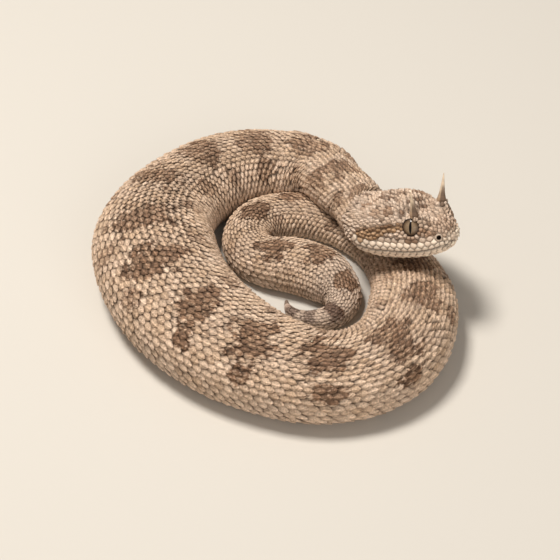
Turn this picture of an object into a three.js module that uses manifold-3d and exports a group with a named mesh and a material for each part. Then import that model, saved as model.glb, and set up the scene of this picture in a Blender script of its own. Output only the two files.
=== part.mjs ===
// Horned desert viper resting in a loose coil: a still, life-size model.
// Millimetres, +Z up. The belly rests on the plane z = 0, and the origin is the middle of the footprint.
// The animal is one long tube that is lofted from cross-sections along its belly line, from the neck at the
// head's back to the tail's tip, and cut into lengths. The head is a loft of its own, with eyes and horns
// set in it.

import * as THREE from "three";
import Module from "manifold-3d";

const wasm = await Module();
wasm.setup();

// ---------- driving sizes ----------
const GAP = 0.3; // kept between pieces that touch
const HEAD_LENGTH = 30.4; // angle of the jaw to the tip of the snout
const BODY_WIDTH = 37.8; // at the thickest of the trunk
const FLATNESS = 0.76; // height of the trunk over its width
const EYE_RADIUS = 3;
const EYE_DEPTH = 0.65; // of the eyeball from front to back, over its width
const EYE_OPENING = 2.65; // radius of the part of the eye that shows
const EYE_BULGE = 0.6; // how far the eye stands out of the skin
const HORN_LENGTH = 8.2;
const HORN_RADIUS = 1.5;
const HORN_TIP_RADIUS = 0.14;

// ---------- colours ----------
const SAND = 0xc2a583;
const PALE_SAND = 0xcdb595;
const HORN_COLOUR = 0xb59b7c;
const EYE_COLOUR = 0x8c8375;
const TAIL_TIP_COLOUR = 0xb9ab9b;

// ---------- the coil, seen from above ----------
// From the back of the coil the trunk runs left, round the front and the right side, under the head,
// back to the left, and turns on itself inside the coil, where the tail curls back to its tip.
const COIL_START = new THREE.Vector2(1.9, 44.4);
const COIL_HEADING = 176.4; // degrees from +X, towards the tail
const BENDS = [
  // length of belly line, and turn to the left in degrees
  { name: "back", length: 28.2, turn: 43.8 },
  { name: "left_shoulder", length: 45.7, turn: 64.1 },
  { name: "left_flank", length: 65.3, turn: 59.1 },
  { name: "front_corner", length: 39.2, turn: 87.5 },
  { name: "right_flank", length: 44.6, turn: 51.1 },
  { name: "under_head", length: 21.9, turn: 33.0 },
  { name: "inner_back", length: 17.6, turn: 36.6 },
  { name: "hairpin", length: 33.3, turn: 161.9 },
  { name: "inner_front", length: 20.0, turn: -38.1 },
  { name: "vent", length: 17.8, turn: -139.2 },
  { name: "tail_curl", length: 15.1, turn: -86.9 },
];
// The neck leaves the same place the other way, towards the head.
const NECK_BENDS = [
  { name: "shoulder", length: 19, turn: -70.5 },
  { name: "crest", length: 14.4, turn: 21.4 },
  { name: "nape", length: 12.8, turn: -46.9 },
];
const ROUTE_STEP = 0.5; // spacing of the belly line's points
const BEND_EASE = 8; // length over which one bend eases into the next

// ---------- thickness along the coil ----------
// Stations along the coil as shares of its length, each with its width and its height over its width.
const STATIONS = [
  { at: 0, width: 24.6, flatness: FLATNESS },
  { at: 0.05, width: 27.2, flatness: FLATNESS },
  { at: 0.1, width: 29.0, flatness: FLATNESS },
  { at: 0.15, width: 33.2, flatness: FLATNESS },
  { at: 0.2, width: BODY_WIDTH, flatness: FLATNESS },
  { at: 0.26, width: 37.0, flatness: FLATNESS },
  { at: 0.32, width: 34.7, flatness: FLATNESS },
  { at: 0.38, width: 31.0, flatness: FLATNESS },
  { at: 0.44, width: 28.2, flatness: FLATNESS },
  { at: 0.5, width: 28.0, flatness: FLATNESS },
  { at: 0.55, width: 26.7, flatness: 0.74 },
  { at: 0.59, width: 22.5, flatness: 0.7 },
  { at: 0.63, width: 19.0, flatness: 0.64 },
  { at: 0.66, width: 17.1, flatness: 0.6 },
  { at: 0.69, width: 16.4, flatness: 0.6 },
  { at: 0.73, width: 15.8, flatness: 0.67 },
  { at: 0.79, width: 14.4, flatness: 0.78 },
  { at: 0.83, width: 16.2, flatness: 0.78 },
  { at: 0.865, width: 18.3, flatness: FLATNESS },
  { at: 0.89, width: 17.6, flatness: 0.78 },
  { at: 0.912, width: 13.4, flatness: 0.78 },
  { at: 0.935, width: 8.9, flatness: 0.8 },
  { at: 0.96, width: 6.3, flatness: 0.84 },
  { at: 0.98, width: 3.6, flatness: 0.9 },
  { at: 1, width: 1.2, flatness: 0.95 },
];

// ---------- the head's place ----------
const HEAD_ORIGIN = new THREE.Vector3(30, 3.6, 19.5); // on the line of the mouth, between the jaw's angles
const HEAD_YAW = -41.5; // degrees from +X to the way that it faces
const HEAD_PITCH = 14.6; // snout raised
const HEAD_ROLL = -8; // leaning to its own left

const SIDES = 24; // facets round the trunk
const HEAD_SIDES = 40;
const radians = THREE.MathUtils.degToRad;

// ---------- small helpers ----------
const lengthOf = (bends) => bends.reduce((sum, bend) => sum + bend.length, 0);
const smooth = (t) => THREE.MathUtils.smoothstep(t, 0, 1);
const bump = (distance, reach) => Math.exp(-((distance / reach) ** 2));

// A smooth curve through [position, value] stations, without overshoot (monotone cubic).
function profile(stations) {
  const n = stations.length;
  const slope = (i) => (stations[i + 1][1] - stations[i][1]) / (stations[i + 1][0] - stations[i][0]);
  const tangents = stations.map((_, i) => {
    if (i === 0) return slope(0);
    if (i === n - 1) return slope(n - 2);
    const before = slope(i - 1);
    const after = slope(i);
    return before * after <= 0 ? 0 : (2 * before * after) / (before + after);
  });
  return (x) => {
    if (x <= stations[0][0]) return stations[0][1];
    if (x >= stations[n - 1][0]) return stations[n - 1][1];
    let i = 0;
    while (x > stations[i + 1][0]) i += 1;
    const span = stations[i + 1][0] - stations[i][0];
    const t = (x - stations[i][0]) / span;
    const a = stations[i][1];
    const b = stations[i + 1][1];
    return (
      a * (1 + 2 * t) * (1 - t) ** 2 +
      b * t * t * (3 - 2 * t) +
      span * (tangents[i] * t * (1 - t) ** 2 - tangents[i + 1] * t * t * (1 - t))
    );
  };
}

// A closed solid through rings of points, each ring in the same order, with flat fans at both ends.
function loft(rings) {
  const sides = rings[0].length;
  const positions = [];
  const index = [];
  for (const ring of rings) for (const p of ring) positions.push(p.x, p.y, p.z);
  for (let r = 0; r + 1 < rings.length; r += 1) {
    for (let k = 0; k < sides; k += 1) {
      const a = r * sides + k;
      const b = r * sides + ((k + 1) % sides);
      index.push(a, b, b + sides, a, b + sides, a + sides);
    }
  }
  const cap = (ring, first, flip) => {
    const middle = ring.reduce((sum, p) => sum.add(p), new THREE.Vector3()).divideScalar(sides);
    const centre = positions.length / 3;
    positions.push(middle.x, middle.y, middle.z);
    for (let k = 0; k < sides; k += 1) {
      const a = first + k;
      const b = first + ((k + 1) % sides);
      index.push(...(flip ? [centre, b, a] : [centre, a, b]));
    }
  };
  cap(rings[0], 0, true);
  cap(rings[rings.length - 1], (rings.length - 1) * sides, false);
  const geometry = new THREE.BufferGeometry();
  geometry.setAttribute("position", new THREE.Float32BufferAttribute(positions, 3));
  geometry.setIndex(index);
  return geometry;
}

// three.js geometry to a manifold solid, turned outside out if need be, and back.
function solid(geometry) {
  const vertProperties = new Float32Array(geometry.getAttribute("position").array);
  const triVerts = new Uint32Array(geometry.index.array);
  const made = new wasm.Manifold(new wasm.Mesh({ numProp: 3, vertProperties, triVerts }));
  if (made.volume() > 0) return made;
  for (let i = 0; i < triVerts.length; i += 3) {
    [triVerts[i + 1], triVerts[i + 2]] = [triVerts[i + 2], triVerts[i + 1]];
  }
  return new wasm.Manifold(new wasm.Mesh({ numProp: 3, vertProperties, triVerts }));
}

function geometryOf(manifold) {
  const parts = manifold.decompose().sort((a, b) => b.volume() - a.volume());
  const mesh = parts[0].getMesh();
  const geometry = new THREE.BufferGeometry();
  const positions = new Float32Array(mesh.numVert * 3);
  for (let i = 0; i < mesh.numVert; i += 1) {
    positions.set(mesh.vertProperties.subarray(i * mesh.numProp, i * mesh.numProp + 3), i * 3);
  }
  geometry.setAttribute("position", new THREE.BufferAttribute(positions, 3));
  geometry.setIndex(new THREE.BufferAttribute(new Uint32Array(mesh.triVerts), 1));
  return geometry;
}

const group = new THREE.Group();
function addNode(name, shape, color, roughness = 0.85) {
  const geometry = shape.isBufferGeometry ? geometryOf(solid(shape)) : geometryOf(shape);
  geometry.computeVertexNormals();
  const mesh = new THREE.Mesh(geometry, new THREE.MeshStandardMaterial({ color, roughness, metalness: 0 }));
  mesh.name = name;
  group.add(mesh);
  return mesh;
}

// ---------- cross-section ----------
// A point of the section at an angle round it: 0 is the animal's left flank and 90 its back.
// y is across and z above the belly. The back has a low ridge along the spine, and the belly is flat.
const WIDEST_AT = 0.42; // height of the widest point over the section's height
const BELLY_DROP = 0.07; // how far the rounded belly would reach below the flat, over the height
const SQUARENESS = 2.15; // of the section's upper corners, where 2 is an ellipse
const BELLY_SQUARENESS = 2.5; // of its lower corners
const SPINE_RIDGE = { height: 0.03, spread: 0.22 }; // over the height of the back
function sectionPoint(angle, width, height) {
  const c = Math.cos(angle);
  const s = Math.sin(angle);
  const across = Math.sign(c) * Math.abs(c) ** (2 / SQUARENESS);
  const y = (width / 2) * across;
  if (s >= 0) {
    const ridge = SPINE_RIDGE.height * bump(c, SPINE_RIDGE.spread);
    const rise = s ** (2 / SQUARENESS) * (1 - SPINE_RIDGE.height) + ridge;
    return { y, z: height * (WIDEST_AT + (1 - WIDEST_AT) * rise) };
  }
  const drop = (WIDEST_AT + BELLY_DROP) * Math.abs(s) ** (2 / BELLY_SQUARENESS);
  return { y, z: height * Math.max(0, WIDEST_AT - drop) };
}

function sectionRing(station, sides = SIDES) {
  const ring = [];
  for (let k = 0; k < sides; k += 1) {
    const { y, z } = sectionPoint((2 * Math.PI * k) / sides, station.width, station.height);
    ring.push(
      station.place.clone().addScaledVector(station.left, y).addScaledVector(station.up, z),
    );
  }
  return ring;
}

// ---------- lines on the ground ----------
// A line that runs through bends of steady turn, each eased into the next, as points with their headings.
function routeThrough(bends, start, startHeading) {
  const length = lengthOf(bends);
  const count = Math.round(length / ROUTE_STEP);
  const curvature = [];
  for (let i = 0; i < count; i += 1) {
    const at = ((i + 0.5) / count) * length;
    let from = 0;
    let bend = bends[0];
    for (const b of bends) {
      bend = b;
      if (at < from + b.length) break;
      from += b.length;
    }
    curvature.push(radians(bend.turn) / bend.length);
  }
  const reach = Math.round(BEND_EASE / 2 / ROUTE_STEP);
  const eased = curvature.map((_, i) => {
    const near = curvature.slice(Math.max(0, i - reach), i + reach + 1);
    return near.reduce((sum, k) => sum + k, 0) / near.length;
  });
  const step = length / count;
  const points = [{ x: start.x, y: start.y, heading: radians(startHeading) }];
  for (const k of eased) {
    const last = points[points.length - 1];
    const heading = last.heading + k * step;
    const middle = (last.heading + heading) / 2;
    points.push({ x: last.x + step * Math.cos(middle), y: last.y + step * Math.sin(middle), heading });
  }
  return points;
}

function alongRoute(route, share) {
  const at = THREE.MathUtils.clamp(share, 0, 1) * (route.length - 1);
  const i = Math.min(route.length - 2, Math.floor(at));
  const t = at - i;
  const mix = (key) => route[i][key] + (route[i + 1][key] - route[i][key]) * t;
  return { x: mix("x"), y: mix("y"), heading: mix("heading") };
}

const COIL_LENGTH = lengthOf(BENDS);
const COIL_ROUTE = routeThrough(BENDS, COIL_START, COIL_HEADING);
const NECK_ROUTE = routeThrough(NECK_BENDS, COIL_START, COIL_HEADING - 180);
const coilWidth = profile(STATIONS.map((s) => [s.at, s.width]));
const coilFlatness = profile(STATIONS.map((s) => [s.at, s.flatness]));

function coilStation(share) {
  const { x, y, heading } = alongRoute(COIL_ROUTE, share);
  const width = coilWidth(share);
  return {
    place: new THREE.Vector3(x, y, 0),
    // The left hand of an animal that faces away from its tail.
    left: new THREE.Vector3(Math.sin(heading), -Math.cos(heading), 0),
    up: new THREE.Vector3(0, 0, 1),
    width,
    height: width * coilFlatness(share),
  };
}

// ---------- the head's frame ----------
const headTurn = new THREE.Quaternion().setFromEuler(
  new THREE.Euler(radians(HEAD_ROLL), -radians(HEAD_PITCH), radians(HEAD_YAW), "ZYX"),
);
const HEAD_FORWARD = new THREE.Vector3(1, 0, 0).applyQuaternion(headTurn);
const HEAD_LEFT = new THREE.Vector3(0, 1, 0).applyQuaternion(headTurn);
const HEAD_UP = new THREE.Vector3(0, 0, 1).applyQuaternion(headTurn);
const headPoint = (x, y, z) =>
  HEAD_ORIGIN.clone()
    .addScaledVector(HEAD_FORWARD, x)
    .addScaledVector(HEAD_LEFT, y)
    .addScaledVector(HEAD_UP, z);

// ---------- the head's shape ----------
// x runs forward from the jaw's angle, y to the left and z up from the line of the mouth.
// Each section has its place as a share of the head's length, its half width, the heights of crown and chin,
// the height at which it is widest, and how square its upper corners are (2 is an ellipse).
const HEAD_SECTIONS = [
  { at: -0.21, half: 8.3, crown: 8.6, chin: -5.2, widest: 0.9, square: 2.15 },
  { at: 0, half: 12.1, crown: 10.0, chin: -5.5, widest: 1.3, square: 2.2 },
  { at: 0.12, half: 13.2, crown: 11.1, chin: -5.6, widest: 1.6, square: 2.3 },
  { at: 0.27, half: 13.2, crown: 11.8, chin: -5.4, widest: 2.1, square: 2.5 },
  { at: 0.42, half: 12.0, crown: 11.9, chin: -4.9, widest: 2.5, square: 2.7 },
  { at: 0.57, half: 10.8, crown: 10.0, chin: -4.2, widest: 3.0, square: 2.6 },
  { at: 0.72, half: 9.1, crown: 9.7, chin: -3.1, widest: 3.4, square: 2.4 },
  { at: 0.84, half: 7.1, crown: 9.1, chin: -1.8, widest: 3.8, square: 2.1 },
  { at: 0.91, half: 5.3, crown: 8.3, chin: -0.5, widest: 4.2, square: 2.3 },
  { at: 0.96, half: 3.6, crown: 7.3, chin: 0.9, widest: 4.6, square: 2.2 },
  { at: 0.99, half: 2.0, crown: 6.4, chin: 2.4, widest: 5.0, square: 2.1 },
  { at: 1, half: 0.6, crown: 5.9, chin: 4.7, widest: 5.2, square: 2.1 },
];
const headProfile = (key) => profile(HEAD_SECTIONS.map((s) => [s.at * HEAD_LENGTH, s[key]]));
const NAPE = HEAD_SECTIONS[0].at * HEAD_LENGTH; // where the neck meets the head
const halfWidth = headProfile("half");
const crown = headProfile("crown");
const chin = headProfile("chin");
const widestLevel = headProfile("widest");
const headSquareness = headProfile("square");
const HORN_AT = { x: 20.8, y: 6.35, z: 11.7 }; // middle of the left horn's foot
const HORN_LEAN = { x: 0.5, y: 1.35 }; // of its tip, forwards and outwards

// Spots on the skin of the left side, and the way that each one faces.
const spot = (at, facing) => ({
  at: new THREE.Vector3(...at),
  facing: new THREE.Vector3(...facing).normalize(),
});
const EYE = spot([21.07, 8.52, 8.45], [0.42, 0.82, 0.38]);
const NOSTRIL = spot([28.32, 4.51, 5.24], [0.65, 0.71, 0.27]);

// Swellings and hollows of the head.
const CHIN_SQUARENESS = 2.4; // of the lower corners of the head's sections
const BROW = { rise: 2.6, out: 0.6, level: 0.95, spread: 0.34, reach: 3.4 };
const LORE = { depth: 0.8, ahead: 4.6, reach: 2.2, y: 6.5, z: 7.4, spread: 2.5, height: 2.4 };
const FRONTAL_HOLLOW = { depth: 1.0, reach: 6, spread: 3.2 };
const LIP = { swell: 0.35, above: 1.5, spread: 1.1, start: -1, ease: 5 };
const EYE_RIM = { swell: 0.5, radius: 3.2, spread: 0.8, reach: 4 };

// Height of the line of the mouth at a share of the head's length.
const MOUTH = [
  [-0.3, -0.4], [0, -0.5], [0.2, -0.5], [0.45, -0.2], [0.65, 0.2], [0.85, 1.2], [0.95, 2.3], [1.1, 3.4],
];
const mouthLine = profile(MOUTH.map(([at, z]) => [at * HEAD_LENGTH, z]));

function headRing(x, sides = HEAD_SIDES) {
  const ring = [];
  const across = halfWidth(x);
  const top = crown(x);
  const bottom = chin(x);
  const level = widestLevel(x);
  const power = 2 / headSquareness(x);
  for (let k = 0; k < sides; k += 1) {
    const angle = (2 * Math.PI * k) / sides;
    const c = Math.cos(angle);
    const s = Math.sin(angle);
    const side = Math.sign(c);
    let y = across * side * Math.abs(c) ** power;
    let z = level + (top - level) * Math.max(0, s) ** power;
    if (s < 0) z = level - (level - bottom) * Math.abs(s) ** (2 / CHIN_SQUARENESS);
    const slope = Math.atan2(s, Math.abs(c)); // 0 on the flank, a quarter turn on the crown
    const brow = bump(slope - BROW.level, BROW.spread) * bump(x - EYE.at.x, BROW.reach);
    y += side * BROW.out * brow;
    z += BROW.rise * brow;
    const lore = bump(x - EYE.at.x - LORE.ahead, LORE.reach) * bump(z - LORE.z, LORE.height);
    y -= side * LORE.depth * lore * bump(Math.abs(y) - LORE.y, LORE.spread);
    const hollow = bump(x - EYE.at.x, FRONTAL_HOLLOW.reach) * bump(y, FRONTAL_HOLLOW.spread);
    if (s > 0) z -= FRONTAL_HOLLOW.depth * hollow;
    const lip = bump(z - mouthLine(x) - LIP.above, LIP.spread) * smooth((x - LIP.start) / LIP.ease);
    y += side * LIP.swell * lip;
    const fromEye = new THREE.Vector3(x, Math.abs(y), z).sub(EYE.at);
    const out = fromEye.dot(EYE.facing);
    const away = Math.sqrt(Math.max(0, fromEye.lengthSq() - out * out));
    const rim = EYE_RIM.swell * bump(away - EYE_RIM.radius, EYE_RIM.spread) * bump(out, EYE_RIM.reach);
    const { facing } = EYE;
    ring.push(headPoint(x + rim * facing.x, y + side * rim * facing.y, z + rim * facing.z));
  }
  return ring;
}

// Rings crowd towards the snout, where the outline closes.
const HEAD_STEPS = 46;
const CROWDING = 1.55; // over 1 the rings stand closer towards the snout
const headX = (share) => NAPE + (HEAD_LENGTH - NAPE) * (1 - (1 - share) ** CROWDING);

function wholeHead() {
  const rings = [];
  for (let i = 0; i <= HEAD_STEPS; i += 1) rings.push(headRing(headX(i / HEAD_STEPS)));
  return solid(loft(rings));
}

// The line of the mouth, as a thin sheet that parts the jaws from one side to the other.
function mouthCut() {
  const rings = [];
  const half = 16; // past the sides of the head
  const past = 2; // past its ends
  for (let x = NAPE - past; x <= HEAD_LENGTH + past; x += 1) {
    const z = mouthLine(x);
    rings.push([
      headPoint(x, -half, z - GAP / 2),
      headPoint(x, half, z - GAP / 2),
      headPoint(x, half, z + GAP / 2),
      headPoint(x, -half, z + GAP / 2),
    ]);
  }
  return solid(loft(rings));
}

// A closed solid of round sections about the way that a spot faces, on the left (side 1) or the right (-1).
// Each section is [distance out of the skin, radius].
function turned(where, side, sections, sides) {
  const across = new THREE.Vector3().crossVectors(new THREE.Vector3(0, 0, 1), where.facing).normalize();
  const over = new THREE.Vector3().crossVectors(where.facing, across);
  const rings = sections.map(([out, radius]) => {
    const ring = [];
    for (let k = 0; k < sides; k += 1) {
      const angle = (2 * Math.PI * k) / sides;
      const p = where.at
        .clone()
        .addScaledVector(where.facing, out)
        .addScaledVector(across, radius * Math.cos(angle))
        .addScaledVector(over, radius * Math.sin(angle));
      ring.push(headPoint(p.x, side * p.y, p.z));
    }
    return ring;
  });
  return solid(loft(rings));
}

// The eyeball: round, and flattened from front to back.
const EYE_SIDES = 24;
const EYE_RINGS = 14;
const EYE_MIDDLE = EYE_BULGE - EYE_DEPTH * EYE_RADIUS; // of the ball, below the skin
function eyeball(side, grow = 0) {
  const sections = [];
  for (let i = 0; i <= EYE_RINGS; i += 1) {
    const angle = (Math.PI * (i + 0.25)) / (EYE_RINGS + 0.5);
    const depth = EYE_DEPTH * EYE_RADIUS + grow;
    sections.push([EYE_MIDDLE + depth * Math.cos(angle), (EYE_RADIUS + grow) * Math.sin(angle)]);
  }
  return turned(EYE, side, sections, EYE_SIDES);
}

// The hole in the skin through which the eye shows.
const EYE_HOLE_REACH = 3; // past the skin
const eyeOpening = (side) =>
  turned(EYE, side, [[EYE_MIDDLE, EYE_OPENING], [EYE_HOLE_REACH, EYE_OPENING]], EYE_SIDES);

// A nostril: a short oval pit that narrows inwards.
const NOSTRIL_SECTIONS = [[1, 0.95], [-0.5, 0.75], [-1.5, 0.35]]; // distance out of the skin, radius
const NOSTRIL_SIDES = 12;
const nostril = (side) => turned(NOSTRIL, side, NOSTRIL_SECTIONS, NOSTRIL_SIDES);

// A horn: a slim spike with four soft keels, sunk in the brow, leaning a little back and outwards.
const HORN_TAPER = 1.1; // over 1 the horn is slimmer in its middle than a cone
const HORN_KEEL = 0.1; // height of its keels over its radius
function horn(side, grow = 0) {
  const rings = [];
  const steps = 12;
  const sides = 12;
  const sunk = 0.5;
  for (let i = 0; i <= steps; i += 1) {
    const t = i / steps;
    const rise = -sunk - grow + t * (HORN_LENGTH + sunk + grow);
    const share = THREE.MathUtils.clamp(rise / HORN_LENGTH, 0, 1);
    const radius = (HORN_RADIUS - HORN_TIP_RADIUS) * (1 - share) ** HORN_TAPER + HORN_TIP_RADIUS + grow;
    const ring = [];
    for (let k = 0; k < sides; k += 1) {
      const angle = (2 * Math.PI * k) / sides;
      const keel = 1 + HORN_KEEL * Math.cos(4 * angle);
      ring.push(
        headPoint(
          HORN_AT.x + HORN_LEAN.x * share + radius * keel * Math.cos(angle),
          side * (HORN_AT.y + HORN_LEAN.y * share) + radius * keel * Math.sin(angle),
          HORN_AT.z + rise,
        ),
      );
    }
    rings.push(ring);
  }
  return solid(loft(rings));
}

function addHead() {
  const cut = mouthCut();
  let head = wholeHead();
  for (const side of [1, -1]) {
    head = head
      .subtract(eyeball(side, GAP))
      .subtract(eyeOpening(side))
      .subtract(horn(side, GAP))
      .subtract(nostril(side));
    const name = side > 0 ? "left" : "right";
    addNode("eye_" + name, eyeball(side), EYE_COLOUR, 0.15);
    addNode("horn_" + name, horn(side), HORN_COLOUR, 0.6);
  }
  const halves = head
    .subtract(cut)
    .decompose()
    .sort((a, b) => b.volume() - a.volume())
    .slice(0, 2);
  addNode("head", halves[0], SAND);
  addNode("lower_jaw", halves[1], PALE_SAND);
}

// ---------- the neck ----------
// It climbs off the coil, passes over the inner loop and meets the back of the head.
// Heights of its middle line from the head to the coil.
const NECK_MIDDLE = [
  [0.15, 18.1], [0.4, 16.5], [0.55, 14.3], [0.7, 11.9], [0.85, 9.75], [0.95, 9.8],
];
const NECK_STEPS = 20;
const NECK_TURN = 0.2; // share of its length in which the head's tilt fades out
const SECTION_LEAN = 0.3; // how far the sections lean with the slope of the line
const NECK_GROWTH = 2.3; // how late it thickens towards the trunk
function neckStations(count) {
  const coil = coilStation(0);
  const heading = radians(COIL_HEADING);
  const napeHeight = crown(NAPE) - chin(NAPE);
  const nape = headPoint(NAPE - GAP, 0, (crown(NAPE) + chin(NAPE)) / 2);
  const middleHeight = profile([[0, nape.z], ...NECK_MIDDLE, [1, coil.height / 2]]);
  const routeEnd = alongRoute(NECK_ROUTE, 1);
  const toNape = new THREE.Vector2(nape.x - routeEnd.x, nape.y - routeEnd.y);
  const lineAt = (share) => {
    const t = THREE.MathUtils.clamp(share, 0, 1);
    const { x, y } = alongRoute(NECK_ROUTE, 1 - t);
    const pull = 1 - smooth(2 * t); // draws the line onto the middle of the nape
    return new THREE.Vector3(x + toNape.x * pull, y + toNape.y * pull, middleHeight(t));
  };
  const stations = [];
  for (let i = 0; i <= count; i += 1) {
    const t = i / count;
    const run = lineAt(t + 0.02).sub(lineAt(t - 0.02)); // towards the tail
    run.z *= SECTION_LEAN;
    run.normalize();
    const tangent = HEAD_FORWARD.clone().negate().lerp(run, smooth(t / NECK_TURN)).normalize();
    if (i === count) tangent.set(Math.cos(heading), Math.sin(heading), 0);
    const up = HEAD_UP.clone().lerp(coil.up, smooth(2 * t));
    up.addScaledVector(tangent, -up.dot(tangent)).normalize();
    const growth = smooth(t) ** NECK_GROWTH;
    const height = THREE.MathUtils.lerp(napeHeight, coil.height, growth);
    stations.push({
      place: lineAt(t).addScaledVector(up, -height / 2),
      left: new THREE.Vector3().crossVectors(tangent, up).normalize(),
      up,
      width: THREE.MathUtils.lerp(2 * halfWidth(NAPE), coil.width, growth),
      height,
    });
  }
  return stations;
}

// Its first rings keep the outline of the head's back, which fades into the section of the trunk.
const NAPE_FADE = 0.35; // share of the neck
function neckShape() {
  const stations = neckStations(NECK_STEPS);
  const first = stations[0];
  const nape = headRing(NAPE, SIDES).map((p) => p.sub(headPoint(NAPE, 0, 0)));
  const drop = chin(NAPE);
  const rings = stations.map((station, i) => {
    const fade = smooth(i / NECK_STEPS / NAPE_FADE);
    return sectionRing(station).map((p, k) => {
      const y = nape[k].dot(HEAD_LEFT) * (station.width / first.width);
      const z = (nape[k].dot(HEAD_UP) - drop) * (station.height / first.height);
      const asNape = station.place.clone().addScaledVector(station.left, y).addScaledVector(station.up, z);
      return asNape.lerp(p, fade);
    });
  });
  return solid(loft(rings));
}

// ---------- the trunk and the tail ----------
const LENGTHS = [
  // name and where it ends, as a share of the coil's length
  ["trunk_1", 0.1], ["trunk_2", 0.2], ["trunk_3", 0.295], ["trunk_4", 0.39], ["trunk_5", 0.48],
  ["trunk_6", 0.57], ["trunk_7", 0.645], ["trunk_8", 0.72], ["trunk_9", 0.79], ["trunk_10", 0.85],
  ["trunk_11", 0.905], ["tail", 0.985], ["tail_tip", 1.0],
];
const FACET_STEP = 3.2; // length of a facet along the trunk

function trunkShape(from, to, grow = 0) {
  const steps = Math.max(3, Math.round(((to - from) * COIL_LENGTH) / FACET_STEP));
  const rings = [];
  for (let i = 0; i <= steps; i += 1) {
    const station = coilStation(from + ((to - from) * i) / steps);
    rings.push(sectionRing({ ...station, width: station.width + 2 * grow, height: station.height + grow }));
  }
  return solid(loft(rings));
}

// The neck and the first of the trunk lie on the inner loop, which presses into their flank.
const PRESSED = ["neck", "trunk_1"];
const INNER_LOOP = { from: 0.62, to: 0.84 }; // shares of the coil
function addBody() {
  const innerLoop = trunkShape(INNER_LOOP.from, INNER_LOOP.to, GAP);
  const add = (name, shape, color) =>
    addNode(name, PRESSED.includes(name) ? shape.subtract(innerLoop) : shape, color);
  add("neck", neckShape(), SAND);
  const gap = GAP / COIL_LENGTH;
  let from = gap;
  for (const [name, end] of LENGTHS) {
    const to = end < 1 ? end - gap : 1;
    add(name, trunkShape(from, to), name === "tail_tip" ? TAIL_TIP_COLOUR : SAND);
    from = end;
  }
}

addHead();
addBody();

// The middle of the footprint is the origin.
const box = new THREE.Box3().setFromObject(group);
group.position.set(-(box.min.x + box.max.x) / 2, -(box.min.y + box.max.y) / 2, 0);

export default group;
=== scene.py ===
"""A desert horned viper lying in a flat, open coil, dressed with skin, scales, eyes and horns.

Shapes are worked out in millimetres in the model's own frame and turned to metres as meshes are made.
"""
import math
from itertools import product

import bmesh
import bpy
import numpy as np
from mathutils import Matrix, Vector
from mathutils.kdtree import KDTree


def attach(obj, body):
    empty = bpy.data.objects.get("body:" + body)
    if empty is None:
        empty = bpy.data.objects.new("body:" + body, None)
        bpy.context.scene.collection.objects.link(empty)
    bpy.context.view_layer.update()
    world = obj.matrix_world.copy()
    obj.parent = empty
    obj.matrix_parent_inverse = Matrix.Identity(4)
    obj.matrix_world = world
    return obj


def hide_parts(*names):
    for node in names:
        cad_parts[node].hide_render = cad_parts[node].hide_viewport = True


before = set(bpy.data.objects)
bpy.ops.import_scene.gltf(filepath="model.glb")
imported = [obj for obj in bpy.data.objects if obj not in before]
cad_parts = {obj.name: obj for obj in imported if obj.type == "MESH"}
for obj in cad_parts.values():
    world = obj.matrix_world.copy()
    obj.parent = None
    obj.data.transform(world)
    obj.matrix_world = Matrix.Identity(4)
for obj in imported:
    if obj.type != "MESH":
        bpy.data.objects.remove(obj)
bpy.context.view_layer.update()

rng = np.random.default_rng(20)

# ---------- the animal's driving sizes, as in the solids ----------
SHIFT = np.array([1.89265, 4.44471, 0.0])  # from the shapes' frame to the model's
GAP = 0.3
TOP_CLEAR, ROOT_CLEAR = 0.02, 0.05  # least height of a scale's face and of its foot over the floor
HEAD_LENGTH = 30.4
FLATNESS = 0.76
COIL_START = (1.9, 44.4)
COIL_HEADING = 176.4
BENDS = [  # length, turn
    (28.2, 43.8), (45.7, 64.1), (65.3, 59.1), (39.2, 87.5), (44.6, 51.1), (21.9, 33.0),
    (17.6, 36.6), (33.3, 161.9), (20.0, -38.1), (17.8, -139.2), (15.1, -86.9),
]
NECK_BENDS = [(19.0, -70.5), (14.4, 21.4), (12.8, -46.9)]
STATIONS = [  # share of the coil, width, height over width
    (0, 24.6, 0.76), (0.05, 27.2, 0.76), (0.1, 29.0, 0.76), (0.15, 33.2, 0.76), (0.2, 37.8, 0.76),
    (0.26, 37.0, 0.76), (0.32, 34.7, 0.76), (0.38, 31.0, 0.76), (0.44, 28.2, 0.76), (0.5, 28.0, 0.76),
    (0.55, 26.7, 0.74), (0.59, 22.5, 0.7), (0.63, 19.0, 0.64), (0.66, 17.1, 0.6), (0.69, 16.4, 0.6),
    (0.73, 15.8, 0.67), (0.79, 14.4, 0.78), (0.83, 16.2, 0.78), (0.865, 18.3, 0.76), (0.89, 17.6, 0.78),
    (0.912, 13.4, 0.78), (0.935, 8.9, 0.8), (0.96, 6.3, 0.84), (0.98, 3.6, 0.9), (1, 1.2, 0.95),
]
NECK_MIDDLE = [(0.15, 18.1), (0.4, 16.5), (0.55, 14.3), (0.7, 11.9), (0.85, 9.75), (0.95, 9.8)]
NECK_TURN = 0.2
SECTION_LEAN = 0.3
NECK_GROWTH = 2.3
NAPE_FADE = 0.35
HEAD_ORIGIN = np.array([30.0, 3.6, 19.5])
HEAD_YAW, HEAD_PITCH, HEAD_ROLL = -41.5, 14.6, -8.0
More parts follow.
